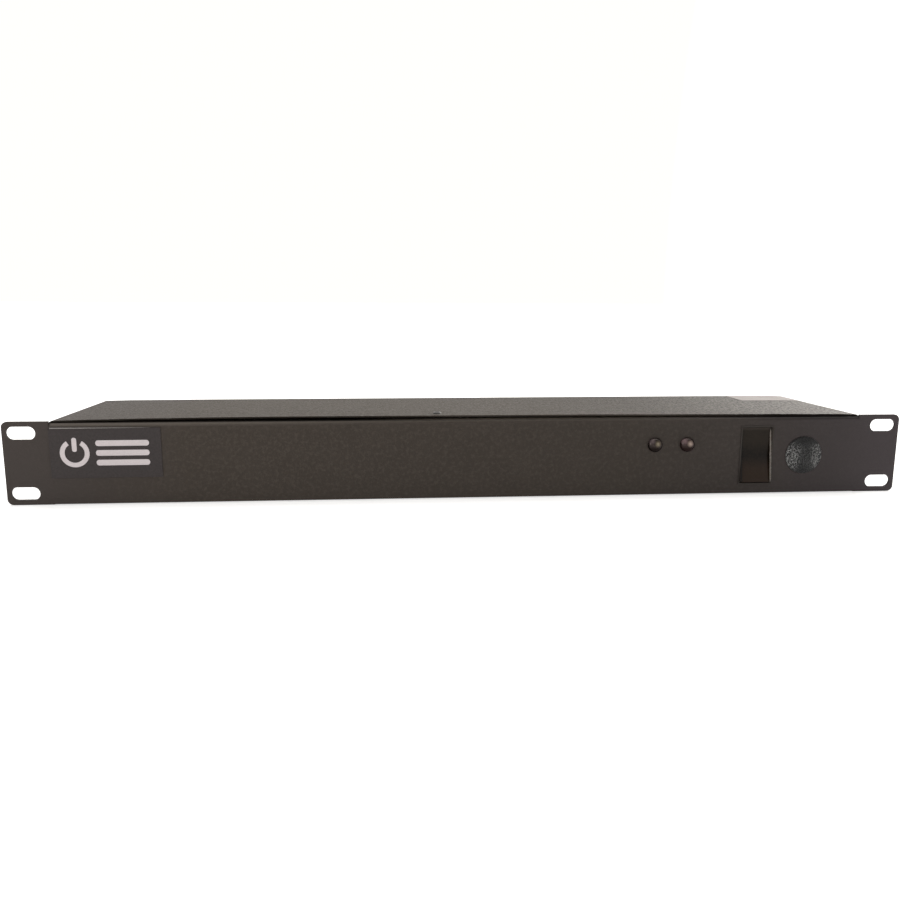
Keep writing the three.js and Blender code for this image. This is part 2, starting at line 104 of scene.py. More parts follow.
def lathe(axis, a, b, prof, seg=64, bm=None, fn=None):
    """Closed turned solid. prof is (radius, height) from axis to axis; the axis passes through (a, b) of the other two."""
    bm = bm or bmesh.new()
    rings = []
    for r, h in prof:
        if r < 1e-6:
            pts = [(0.0, 0.0)]
        else:
            pts = [(r * math.cos(2 * math.pi * i / seg), r * math.sin(2 * math.pi * i / seg)) for i in range(seg)]
        ring = []
        for cu, cv in pts:
            d = fn(cu, cv, h) if fn else 0.0
            if axis == "y":
                ring.append(bm.verts.new(M(a + cu, h + d, b + cv)))
            elif axis == "z":
                ring.append(bm.verts.new(M(a + cu, b + cv, h + d)))
            else:
                ring.append(bm.verts.new(M(h + d, a + cu, b + cv)))
        rings.append(ring)
    closed = prof[0][0] > 1e-6
    pairs = list(zip(rings, rings[1:])) + ([(rings[-1], rings[0])] if closed else [])
    made = []
    for p, q in pairs:
        for i in range(seg):
            j = (i + 1) % seg
            if len(p) == 1 and len(q) == 1:
                continue
            if len(p) == 1:
                made.append(bm.faces.new((p[0], q[i], q[j])))
            elif len(q) == 1:
                made.append(bm.faces.new((p[i], p[j], q[0])))
            else:
                made.append(bm.faces.new((p[i], p[j], q[j], q[i])))
    bmesh.ops.recalc_face_normals(bm, faces=made)
    return bm


def cyl(axis, a, b, r, t0, t1, seg=48, bm=None):
    return lathe(axis, a, b, [(0, t0), (r, t0), (r, t1), (0, t1)], seg, bm)


def arc(cx, cy, r, a0, a1, n):
    return [(cx + r * math.cos(math.radians(a0 + (a1 - a0) * i / n)), cy + r * math.sin(math.radians(a0 + (a1 - a0) * i / n))) for i in range(n + 1)]


def round_rect(cx, cy, w, h, r, n=8):
    x, y = w / 2 - r, h / 2 - r
    return arc(cx + x, cy + y, r, 0, 90, n) + arc(cx - x, cy + y, r, 90, 180, n) + arc(cx - x, cy - y, r, 180, 270, n) + arc(cx + x, cy - y, r, 270, 360, n)


def slot_shape(cx, cy, length, height, n=20):
    r = height / 2
    x = length / 2 - r
    return arc(cx + x, cy, r, -90, 90, n) + arc(cx - x, cy, r, 90, 270, n)


def apply_mods(o):
    dg = bpy.context.evaluated_depsgraph_get()
    me = bpy.data.meshes.new_from_object(o.evaluated_get(dg), depsgraph=dg)
    old = o.data
    o.modifiers.clear()
    o.data = me
    me.name = o.name
    bpy.data.meshes.remove(old)
    return o


def boolean(o, others, op):
    for t in others:
        m = o.modifiers.new("b", "BOOLEAN")
        m.operation = op
        m.solver = "EXACT"
        m.object = t
    bpy.context.view_layer.update()
    apply_mods(o)
    for t in others:
        me = t.data
        bpy.data.objects.remove(t)
        bpy.data.meshes.remove(me)
    return o


def solid(name, bm, add=(), cut=()):
    """One body: bm, joined with every bmesh in add, less every bmesh in cut."""
    o = obj_from(name, bm)
    if add:
        boolean(o, [obj_from("t", b) for b in add], "UNION")
    if cut:
        boolean(o, [obj_from("t", b) for b in cut], "DIFFERENCE")
    return o


def soften(o, width, segments=3, angle=30, weighted=True):
    """Rounded edges and clean shading."""
    bm = bmesh.new()
    bm.from_mesh(o.data)
    bmesh.ops.remove_doubles(bm, verts=bm.verts, dist=2e-7)
    bmesh.ops.dissolve_degenerate(bm, edges=bm.edges, dist=1e-7)
    for f in bm.faces:
        f.smooth = True
    bm.to_mesh(o.data)
    bm.free()
    m = o.modifiers.new("edge", "BEVEL")
    m.width = width / 1000.0
    m.segments = segments
    m.limit_method = "ANGLE"
    m.angle_limit = math.radians(angle)
    m.use_clamp_overlap = True
    m.harden_normals = False
    m.miter_outer = "MITER_ARC"
    if weighted:
        w = o.modifiers.new("shade", "WEIGHTED_NORMAL")
        w.weight = 60
        w.keep_sharp = False
    bpy.context.view_layer.update()
    return apply_mods(o)


def smooth(o):
    for p in o.data.polygons:
        p.use_smooth = True
    return o


def piece(o, mat, body, slot, *nodes):
    o.data.materials.clear()
    for m in (mat if isinstance(mat, (list, tuple)) else [mat]):
        o.data.materials.append(m)
    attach(o, body)
    if nodes:
        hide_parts(*nodes)
    return o


# ------------------------------------------------------------------ materials
class Mat:
    def __init__(self, name):
        self.m = bpy.data.materials.new(name)
        self.m.use_nodes = True
        self.nt = self.m.node_tree
        self.nt.nodes.clear()
        self.out = self.n("ShaderNodeOutputMaterial")
        self.bsdf = self.n("ShaderNodeBsdfPrincipled")
        self.link(self.bsdf.outputs[0], self.out.inputs[0])
        self.tc = self.n("ShaderNodeTexCoord").outputs["Object"]

    def n(self, kind, **kw):
        node = self.nt.nodes.new(kind)
        for k, v in kw.items():
            setattr(node, k, v)
        return node

    def link(self, a, b):
        self.nt.links.new(a, b)

    def noise(self, scale, detail=3.0, rough=0.55, stretch=None, off=0.0):
        src = self.tc
        if stretch or off:
            mp = self.n("ShaderNodeMapping")
            self.link(src, mp.inputs["Vector"])
            mp.inputs["Scale"].default_value = stretch or (1, 1, 1)
            mp.inputs["Location"].default_value = (off, off * 0.7, off * 1.3)
            src = mp.outputs[0]
        t = self.n("ShaderNodeTexNoise")
        t.inputs["Scale"].default_value = scale
        t.inputs["Detail"].default_value = detail
        t.inputs["Roughness"].default_value = rough
        self.link(src, t.inputs["Vector"])
        return t.outputs["Fac"]

    def voronoi(self, scale, feature="F1", randomness=1.0, smoothness=None, stretch=None):
        src = self.tc
        if stretch:
            mp = self.n("ShaderNodeMapping")
            self.link(src, mp.inputs["Vector"])
            mp.inputs["Scale"].default_value = stretch
            src = mp.outputs[0]
        t = self.n("ShaderNodeTexVoronoi")
        t.feature = feature
        t.inputs["Scale"].default_value = scale
        t.inputs["Randomness"].default_value = randomness
        if smoothness is not None:
            t.inputs["Smoothness"].default_value = smoothness
        self.link(src, t.inputs["Vector"])
        return t.outputs["Distance"]

    def ramp(self, fac, lo, hi, a, b):
        """Maps fac from lo..hi to a..b, clamped."""
        r = self.n("ShaderNodeMapRange")
        r.inputs["From Min"].default_value = lo
        r.inputs["From Max"].default_value = hi
        r.inputs["To Min"].default_value = a
        r.inputs["To Max"].default_value = b
        self.link(fac, r.inputs["Value"])
        return r.outputs[0]

    def math(self, op, a, b=None, c=None):
        n = self.n("ShaderNodeMath", operation=op)
        for i, v in enumerate((a, b, c)):
            if v is None:
                continue
            if hasattr(v, "links") or hasattr(v, "is_linked"):
                self.link(v, n.inputs[i])
            else:
                n.inputs[i].default_value = v
        return n.outputs[0]

    def mix(self, fac, a, b, blend="MIX"):
        n = self.n("ShaderNodeMix", data_type="RGBA", blend_type=blend)
        for sock, v in ((n.inputs["Factor"], fac), (n.inputs[6], a), (n.inputs[7], b)):
            if hasattr(v, "is_linked"):
                self.link(v, sock)
            else:
                sock.default_value = (*v, 1.0) if isinstance(v, (tuple, list)) else v
        return n.outputs[2]

    def bump(self, height, strength, distance, prev=None):
        b = self.n("ShaderNodeBump")
        b.inputs["Strength"].default_value = strength
        b.inputs["Distance"].default_value = distance
        self.link(height, b.inputs["Height"])
        if prev is not None:
            self.link(prev, b.inputs["Normal"])
        return b.outputs[0]

    def edge(self, radius, lo=0.02, hi=0.3):
        """0 on flats, towards 1 along edges and corners."""
        bv = self.n("ShaderNodeBevel")
        bv.samples = 4
        bv.inputs["Radius"].default_value = radius
        g = self.n("ShaderNodeNewGeometry")
        d = self.n("ShaderNodeVectorMath", operation="DOT_PRODUCT")
        self.link(bv.outputs[0], d.inputs[0])
        self.link(g.outputs["Normal"], d.inputs[1])
        return self.ramp(self.math("SUBTRACT", 1.0, d.outputs["Value"]), lo, hi, 0.0, 1.0)

    def set(self, **kw):
        for k, v in kw.items():
            s = self.bsdf.inputs[k.replace("_", " ")]
            if hasattr(v, "is_linked"):
                self.link(v, s)
            elif isinstance(v, tuple) and len(v) == 3 and s.type == "RGBA":
                s.default_value = (*v, 1.0)
            else:
                s.default_value = v
        return self


def lin(*c):
    return tuple(((v / 255.0) / 12.92 if v / 255.0 <= 0.04045 else ((v / 255.0 + 0.055) / 1.055) ** 2.4) for v in c)


def scaled(c, k):
    return tuple(v * k for v in c)


def powder(name, base, rough, spec, grain=1.0, wear=0.25, coarse=0.0, front=None, fade=0.0):
    m = Mat(name)
    fine = m.noise(2300, 3.0, 0.6)
    mid = m.noise(900, 3.0, 0.6, off=0.31)
    patch = m.noise(70, 3.0, 0.5, off=0.57)
    fleck = m.noise(480, 4.0, 0.65, off=3.1)
    broad = m.noise(9, 2.0, 0.5, off=0.77)
    c = m.mix(m.ramp(fine, 0.33, 0.67, 0.0, 1.0), scaled(base, 1.0 - 0.20 * grain), scaled(base, 1.0 + 0.22 * grain))
    c = m.mix(m.ramp(mid, 0.35, 0.68, 0.0, 0.75), c, (base[0] * 1.34, base[1] * 1.27, base[2] * 1.22))
    c = m.mix(m.ramp(patch, 0.35, 0.7, 0.0, 0.45), c, (base[0] * 0.88, base[1] * 0.85, base[2] * 0.82))
    c = m.mix(m.ramp(broad, 0.3, 0.7, 0.0, 0.3), c, scaled(base, 0.88))
    c = m.mix(m.ramp(fleck, 0.47, 0.66, 0.0, 0.7), c, scaled(base, 1.55))
    sx = m.n("ShaderNodeSeparateXYZ")
    m.link(m.tc, sx.inputs[0])
    # paler towards both ends, most on the ears
    ends = m.ramp(m.math("ABSOLUTE", sx.outputs["X"]), 0.150, 0.228, 0.0, 1.0)
    c = m.mix(ends, c, (base[0] * 1.22, base[1] * 1.24, base[2] * 1.40))
    if fade:
        # painted shade: the panel is darkened towards the right, standing in for the light falling off across it
        c = m.mix(m.ramp(sx.outputs["X"], -0.12, 0.14, 0.0, fade), c, (0.0, 0.0, 0.0006))
        # painted highlight over the top bend, strongest at the left, and painted shade along the seam at its right end
        top = (ZT + ZS) / 1000.0
        body = m.ramp(m.math("ABSOLUTE", sx.outputs["X"]), 0.2168, 0.2177, 1.0, 0.0)
        # painted highlight mask for the top bend
        thin = m.math("MULTIPLY", m.ramp(sx.outputs["X"], -0.165, -0.02, 0.82, 0.18), m.ramp(sx.outputs["X"], 0.13, 0.17, 1.0, 0.0))
        thin = m.math("MULTIPLY", m.math("MULTIPLY", thin, body), m.ramp(sx.outputs["Z"], top - 0.0031, top - 0.0019, 0.0, 1.0))
        c = m.mix(thin, c, (0.0900, 0.0770, 0.0660))
        # painted shade along the seam at the right end
        seam_painted_shade = m.math("MULTIPLY", m.ramp(sx.outputs["X"], 0.15, 0.19, 0.0, 0.85), m.math("MULTIPLY", body, m.ramp(sx.outputs["Z"], top - 0.0024, top - 0.0017, 0.0, 1.0)))
        c = m.mix(seam_painted_shade, c, (0.0040, 0.0032, 0.0028))
        # painted light under the cover's front edge, lifting the shade in the seam
        seam_painted_light = m.math("MULTIPLY", m.ramp(sx.outputs["Y"], (1.9 + YS) / 1000.0, (2.5 + YS) / 1000.0, 0.0, 1.0), m.ramp(sx.outputs["Z"], top - 0.0017, top - 0.0013, 0.0, 1.0))
        seam_painted_light = m.math("MULTIPLY", seam_painted_light, m.ramp(sx.outputs["X"], 0.12, 0.175, 1.0, 0.1))
        c = m.mix(m.math("MULTIPLY", seam_painted_light, m.ramp(sx.outputs["X"], -0.06, 0.0, 0.0, 1.0)), c, (0.4800, 0.4100, 0.3400))
        # greyer towards the right, and palest on the right ear
        c = m.mix(m.ramp(sx.outputs["X"], 0.09, 0.19, 0.0, 1.0), c, (0.945, 0.950, 1.13), "MULTIPLY")
        c = m.mix(m.ramp(sx.outputs["X"], 0.205, 0.234, 0.0, 1.0), c, (1.25, 1.23, 1.25), "MULTIPLY")
    if coarse:
        # painted glints: the orange-peel speckle is painted darker and paler, growing towards the right end, standing
        # in for the sheen off the bright wall there
        peel = m.ramp(m.noise(760, 2.0, 0.5, stretch=(1.0, 0.6, 1.0), off=7.7), 0.38, 0.62, 0.0, 1.0)
        flat = m.ramp(sx.outputs["Z"], (ZT + ZS - 1.1) / 1000.0, (ZT + ZS - 0.35) / 1000.0, 0.0, 1.0)
        c = m.mix(m.math("MULTIPLY", m.math("MULTIPLY", flat, m.ramp(sx.outputs["X"], 0.02, 0.16, 0.0, 0.95)), m.math("SUBTRACT", 1.0, peel)), c, scaled(base, 0.27))
        c = m.mix(m.math("MULTIPLY", m.math("MULTIPLY", flat, m.ramp(sx.outputs["X"], 0.105, 0.225, 0.0, 1.0)), peel), c, (0.152, 0.142, 0.127))
    e = m.edge(0.0006)
    worn = m.math("MULTIPLY", e, m.ramp(m.noise(260, 4.0, 0.6, off=1.7), 0.42, 0.62, 0.0, wear))
    c = m.mix(worn, c, scaled(base, 2.8))
    if front is not None:
        # painted shade: the sheet's cut front edge stands in the seam and is painted dark for the seam's shadow, a
        # little paler from the middle and darkest at the right end
        cut = m.mix(m.ramp(sx.outputs["X"], -0.06, 0.0, 0.0, 1.0), (0.0200, 0.0168, 0.0140), (0.0400, 0.0340, 0.0285))
        cut = m.mix(m.ramp(sx.outputs["X"], 0.10, 0.17, 0.0, 1.0), cut, (0.0150, 0.0125, 0.0105))
        c = m.mix(m.ramp(sx.outputs["Y"], front + 0.00006, front + 0.00026, 1.0, 0.0), c, cut)
    m.set(Base_Color=c)
    r = m.ramp(mid, 0.3, 0.7, rough - 0.06, rough + 0.07)
    m.set(Roughness=m.math("SUBTRACT", r, m.math("MULTIPLY", worn, 0.15)))
    if coarse:
        sheen = m.ramp(m.noise(760, 2.0, 0.5, off=5.3), 0.38, 0.64, spec * 0.45, spec * 1.6)
        sheen = m.math("MULTIPLY", sheen, m.ramp(m.noise(1700, 2.0, 0.5, off=6.1), 0.38, 0.64, 0.55, 1.45))
        if front is not None:
            sheen = m.math("MULTIPLY", sheen, m.ramp(sx.outputs["Y"], front + 0.00006, front + 0.00026, 0.0, 1.0))
        m.set(Specular_IOR_Level=sheen)
    else:
        m.bsdf.inputs["Specular IOR Level"].default_value = spec
    m.bsdf.inputs["Specular Tint"].default_value = (1.0, 0.93, 0.86, 1.0)
    nrm = m.bump(m.voronoi(1500, "SMOOTH_F1", 1.0, 0.7), 0.34 * grain, 0.00005)
    nrm = m.bump(mid, 0.36 * grain, 0.00010, nrm)
    if coarse:
        nrm = m.bump(m.noise(420, 4.0, 0.62, off=2.3), coarse, 0.00050, nrm)
        nrm = m.bump(m.noise(120, 2.0, 0.5, off=4.1), coarse * 0.5, 0.0007, nrm)
    m.set(Normal=nrm)
    return m.m


def plastic(name, base, rough, spec=0.5, grain=0.15, scale=1600, var=0.10, coat=0.0, coat_rough=0.1):
    m = Mat(name)
    a = m.noise(scale, 3.0, 0.55)
    b = m.noise(60, 3.0, 0.5, off=0.4)
    c = m.mix(m.ramp(a, 0.35, 0.65, 0.0, 1.0), scaled(base, 1 - var), scaled(base, 1 + var))
    c = m.mix(m.ramp(b, 0.3, 0.7, 0.0, 0.3), c, scaled(base, 1.18))
    m.set(Base_Color=c, Roughness=m.ramp(b, 0.3, 0.7, rough * 0.86, rough * 1.14))
    m.bsdf.inputs["Specular IOR Level"].default_value = spec
    m.bsdf.inputs["Coat Weight"].default_value = coat
    m.bsdf.inputs["Coat Roughness"].default_value = coat_rough
    m.set(Normal=m.bump(a, grain, 0.00005))
    return m.m


def metal(name, base, rough, stretch=(1, 14, 1), scale=900, scratch=0.2):
    m = Mat(name)
    a = m.noise(scale, 4.0, 0.6, stretch=stretch)
    b = m.noise(70, 3.0, 0.5, off=0.9)
    c = m.mix(m.ramp(a, 0.3, 0.7, 0.0, 1.0), scaled(base, 0.86), scaled(base, 1.1))
    c = m.mix(m.ramp(b, 0.35, 0.75, 0.0, 0.35), c, scaled(base, 0.72))
    m.set(Base_Color=c, Roughness=m.ramp(a, 0.3, 0.7, rough * 0.75, rough * 1.3))
    m.bsdf.inputs["Metallic"].default_value = 1.0
    m.set(Normal=m.bump(a, scratch, 0.00004))
    return m.m


FLOOR_GLOW, WORLD_FRONT, WORLD_BACK, WORLD_RIGHT = 0.42, 0.46, 1.05, 4.6
PANEL = (0.0310, 0.0250, 0.0205)
COVER = (0.0415, 0.0356, 0.0290)
mt_panel = powder("powder_coat_panel", PANEL, 0.58, 0.24, grain=1.2, fade=0.30)
mt_cover = powder("powder_coat_cover", COVER, 0.60, 0.25, grain=1.4, coarse=1.0, front=(1.8 + YS) / 1000.0)
mt_badge = plastic("badge_satin", (0.0270, 0.0212, 0.0208), 0.50, 0.26, grain=0.06, scale=900, var=0.16)
mt_badge_edge = plastic("badge_edge_painted_highlight", (0.190, 0.178, 0.168), 0.35, 0.4, grain=0.05, scale=900, var=0.10)
mt_mark = plastic("badge_mark_pale", (0.50, 0.455, 0.460), 0.6, 0.3, grain=0.05, var=0.05)
mt_label = plastic("label_paper", (0.330, 0.304, 0.292), 0.75, 0.18, grain=0.12, scale=1500, var=0.04)
mt_screw = metal("screw_black_oxide", (0.075, 0.072, 0.070), 0.34, scratch=0.12)
mt_switch = plastic("switch_black", (0.0120, 0.0090, 0.0075), 0.50, 0.16, grain=0.06, scale=2200)
mt_frame = plastic("switch_frame", (0.0235, 0.0190, 0.0160), 0.56, 0.20, grain=0.10, scale=1800)


def rocker_material():
    m = Mat("rocker_brown")
    a = m.noise(900, 3.0, 0.55)
    b = m.noise(60, 3.0, 0.5, off=0.4)
    g = m.n("ShaderNodeSeparateXYZ")
    m.link(m.tc, g.inputs[0])
    # smoke-tinted moulding, with painted shade darkest along the valley where the two lands meet and a painted
    # highlight on its upper edge
    mid = (SWZ + ZS) / 1000.0
    away = m.math("ABSOLUTE", m.math("SUBTRACT", g.outputs["Z"], mid + 0.0002))
    c = m.mix(m.ramp(g.outputs["Z"], mid - 0.004, mid + 0.002, 0.0, 1.0), (0.0182, 0.0108, 0.0069), (0.0128, 0.0096, 0.0068))
    c = m.mix(m.ramp(away, 0.0008, 0.0075, 0.90, 0.0), c, (0.0030, 0.0023, 0.0018))
    c = m.mix(m.ramp(a, 0.35, 0.65, 0.0, 0.25), c, (0.0250, 0.0165, 0.0110))
    c = m.mix(m.ramp(g.outputs["Z"], mid + 0.0138, mid + 0.0151, 0.0, 1.0), c, (0.0300, 0.0235, 0.0190))
    m.set(Base_Color=c, Roughness=m.ramp(b, 0.3, 0.7, 0.30, 0.38))
    m.bsdf.inputs["Specular IOR Level"].default_value = 0.08
    m.set(Normal=m.bump(a, 0.03, 0.00005))
    return m.m


def rim_material():
    m = Mat("rocker_bead_painted_highlight")
    g = m.n("ShaderNodeSeparateXYZ")
    m.link(m.tc, g.inputs[0])
    mid = (SWZ + ZS) / 1000.0
    # painted highlight: the bead is painted pale, palest at its upper end
    c = m.mix(m.ramp(g.outputs["Z"], mid - 0.015, mid + 0.0155, 0.0, 1.0), (0.0700, 0.0590, 0.0500), (0.1500, 0.1320, 0.1120))
    c = m.mix(m.ramp(m.noise(700, 3.0, 0.5), 0.35, 0.65, 0.0, 0.2), c, (0.1100, 0.1000, 0.0820))
    m.set(Base_Color=c, Roughness=m.ramp(m.noise(500, 2.0, 0.5, off=0.7), 0.3, 0.7, 0.24, 0.32))
    m.bsdf.inputs["Specular IOR Level"].default_value = 0.40
    return m.m


def rail_material():
    m = Mat("rocker_side")
    g = m.n("ShaderNodeSeparateXYZ")
    m.link(m.tc, g.inputs[0])
    # the outer flank is paler than the front edge
    c = m.mix(m.ramp(g.outputs["X"], (SWX - 8.56) / 1000.0, (SWX - 8.44) / 1000.0, 0.0, 1.0), (0.0300, 0.0245, 0.0215), (0.0034, 0.0025, 0.0021))
    c = m.mix(m.ramp(m.noise(900, 3.0, 0.5), 0.35, 0.65, 0.0, 0.2), c, (0.0070, 0.0058, 0.0050))
    m.set(Base_Color=c, Roughness=m.ramp(m.noise(500, 2.0, 0.5, off=0.7), 0.3, 0.7, 0.52, 0.66))
    m.bsdf.inputs["Specular IOR Level"].default_value = 0.12
    return m.m


SWX, SWZ = 159.75, -0.65
mt_rail = rail_material()
# painted light for the switch opening's shaded side walls
mt_wall_painted_light = plastic("housing_wall_painted_light", (0.0560, 0.0470, 0.0420), 0.60, 0.20, grain=0.06, scale=1800)
mt_rim = rim_material()
mt_rocker = rocker_material()
mt_outlet = plastic("outlet_black", (0.016, 0.016, 0.017), 0.42, 0.5, grain=0.25, scale=1500)
mt_inlet = plastic("inlet_black", (0.014, 0.014, 0.015), 0.48, 0.5, grain=0.3, scale=1300)
mt_breaker = plastic("breaker_black", (0.016, 0.016, 0.017), 0.40, 0.5, grain=0.2, scale=1500)
mt_button = plastic("button_white", (0.74, 0.72, 0.67), 0.30, 0.5, grain=0.05, scale=1500, var=0.03)
mt_nylon = plastic("nylon_natural", (0.62, 0.58, 0.49), 0.45, 0.5, grain=0.2, scale=1200, var=0.04)
mt_nickel = metal("nickel_plate", (0.56, 0.54, 0.50), 0.26, scratch=0.10)
mt_steel = metal("zinc_steel", (0.42, 0.42, 0.42), 0.32)
mt_brass = metal("brass_strip", (0.60, 0.42, 0.16), 0.30)
mt_board = plastic("solder_mask", (0.022, 0.095, 0.040), 0.35, 0.5, grain=0.2, scale=700, var=0.15)
mt_mov = plastic("varistor_blue", (0.02, 0.075, 0.25), 0.28, 0.5, grain=0.15, scale=500, var=0.12)
mt_film = plastic("film_yellow", (0.60, 0.38, 0.03), 0.45, 0.5, grain=0.15, scale=900)
mt_ferrite = plastic("ferrite_coat", (0.06, 0.055, 0.05), 0.6, 0.4, grain=0.5, scale=1100, var=0.2)
mt_wblack = plastic("wire_black", (0.012, 0.012, 0.012), 0.45, 0.5, grain=0.1)
mt_wwhite = plastic("wire_white", (0.62, 0.60, 0.56), 0.45, 0.5, grain=0.1, var=0.03)
mt_wgreen = plastic("wire_green", (0.02, 0.20, 0.05), 0.45, 0.5, grain=0.1)


def plug_material():
    m = Mat("plug_leather_grain")
    cell = m.voronoi(1150, "DISTANCE_TO_EDGE", 1.0)
    fine = m.noise(2600, 3.0, 0.6)
    blot = m.noise(1750, 2.0, 0.6, stretch=(1.0, 1.0, 0.7), off=0.6)
    g = m.n("ShaderNodeSeparateXYZ")
    m.link(m.tc, g.inputs[0])
    zc = (PLUG_AT[1] + ZS) / 1000.0
    base = (0.0050, 0.0052, 0.0056)
    c = m.mix(m.ramp(cell, 0.0, 0.20, 0.0, 1.0), scaled(base, 0.4), scaled(base, 1.25))
    # painted glints: the grain is painted pale at the left and right, and painted shade keeps it dark along the top
    side = m.ramp(m.math("ABSOLUTE", m.math("SUBTRACT", g.outputs["X"], PLUG_AT[0] / 1000.0)), 0.0020, 0.0058, 0.22, 1.0)
    top = m.ramp(g.outputs["Z"], zc + 0.0035, zc + 0.0080, 1.0, 0.12)
    side = m.math("MULTIPLY", side, m.ramp(g.outputs["X"], PLUG_AT[0] / 1000.0 - 0.001, PLUG_AT[0] / 1000.0 + 0.003, 1.0, 0.84))
    top = m.math("MULTIPLY", top, m.ramp(g.outputs["Z"], zc - 0.0085, zc - 0.0040, 0.22, 1.0))
    side_glint_painted = m.math("MULTIPLY", m.math("MULTIPLY", side, top), m.ramp(blot, 0.47, 0.61, 0.0, 1.0))
    c = m.mix(side_glint_painted, c, (0.3200, 0.3200, 0.3130))
    c = m.mix(m.ramp(fine, 0.35, 0.65, 0.0, 0.45), c, scaled(base, 0.7))
    # painted shade: darker along the top of the dome
    c = m.mix(m.ramp(g.outputs["Z"], zc + 0.0060, zc + 0.0090, 0.0, 0.75), c, scaled(base, 0.3))
    m.set(Base_Color=c, Roughness=m.ramp(fine, 0.3, 0.7, 0.28, 0.42))
    m.bsdf.inputs["Specular IOR Level"].default_value = 0.30
    nrm = m.bump(m.ramp(cell, 0.0, 0.25, 0.0, 1.0), 1.0, 0.00024)
    nrm = m.bump(blot, 0.9, 0.0004, nrm)
    m.set(Normal=m.bump(fine, 0.25, 0.00005, nrm))
    return m.m


def lens_material(name, x, deep, upper, side):
    """Smoked lens: near black, with painted highlights at its upper left and near its middle."""
    m = Mat(name)
    g = m.n("ShaderNodeSeparateXYZ")
    m.link(m.tc, g.inputs[0])

    def spot(dx, dz, r):
        u = m.math("SUBTRACT", g.outputs["X"], (x + dx) / 1000.0)
        w = m.math("SUBTRACT", g.outputs["Z"], (LENS_Z + dz + ZS) / 1000.0)
        d = m.math("SQRT", m.math("ADD", m.math("MULTIPLY", u, u), m.math("MULTIPLY", w, w)))
        f = m.ramp(d, 0.0002, r / 1000.0, 1.0, 0.0)
        f.node.interpolation_type = "SMOOTHSTEP"
        return f

    c = m.mix(spot(-2.3, 2.3, 2.6), deep, upper)
    c = m.mix(spot(0.8, 0.9, 2.3), c, side)
    c = m.mix(m.ramp(m.noise(500, 2.0, 0.5), 0.4, 0.7, 0.0, 0.2), c, scaled(deep, 1.6))
    m.set(Base_Color=c, Roughness=m.ramp(m.noise(900, 2.0, 0.5, off=0.2), 0.3, 0.7, 0.16, 0.24))
    low = m.ramp(g.outputs["Z"], (LENS_Z - 2.0 + ZS) / 1000.0, (LENS_Z + 1.0 + ZS) / 1000.0, 0.06, 0.42)
    m.set(Specular_IOR_Level=low)
    m.bsdf.inputs["Specular Tint"].default_value = (1.0, 0.84, 0.77, 1.0)
    return m.m


LENS_Z = 6.15
PLUG_AT = (187.0, -0.45)
mt_plug = plug_material()
mt_lens_a = lens_material("lens_neutral", 101.7, (0.0055, 0.0032, 0.0026), (0.074, 0.056, 0.058), (0.125, 0.104, 0.068))
mt_lens_r = lens_material("lens_red", 119.8, (0.0090, 0.0042, 0.0038), (0.130, 0.088, 0.092), (0.260, 0.200, 0.168))

# ------------------------------------------------------------------ sheet metal
SHEET, R, COVER_T, GAP = 1.5, 1.8, 0.8, 0.3
CASE_W, PANEL_W, EAR_R, RELIEF = 437.0, 482.6, 3.0, 0.16
COVER_GAP, COVER_FRONT = 0.3, 1.8
FLZ = ZT - COVER_T - COVER_GAP
TX = CASE_W / 2 - COVER_T - GAP
LAMPS, LAMP_Z = (101.7, 119.8), 6.15
SWX, SWZ = 159.75, -0.65
PX, PZ = 187.0, -0.45
SCX, SCY = -17.3, 11.0
SIDE_Y, SIDE_Z = (22.0, 68.0), -15.5
OUTLETS = [-196.0 + 44.0 * i for i in range(8)]
IX, BX = 190.0, 145.0


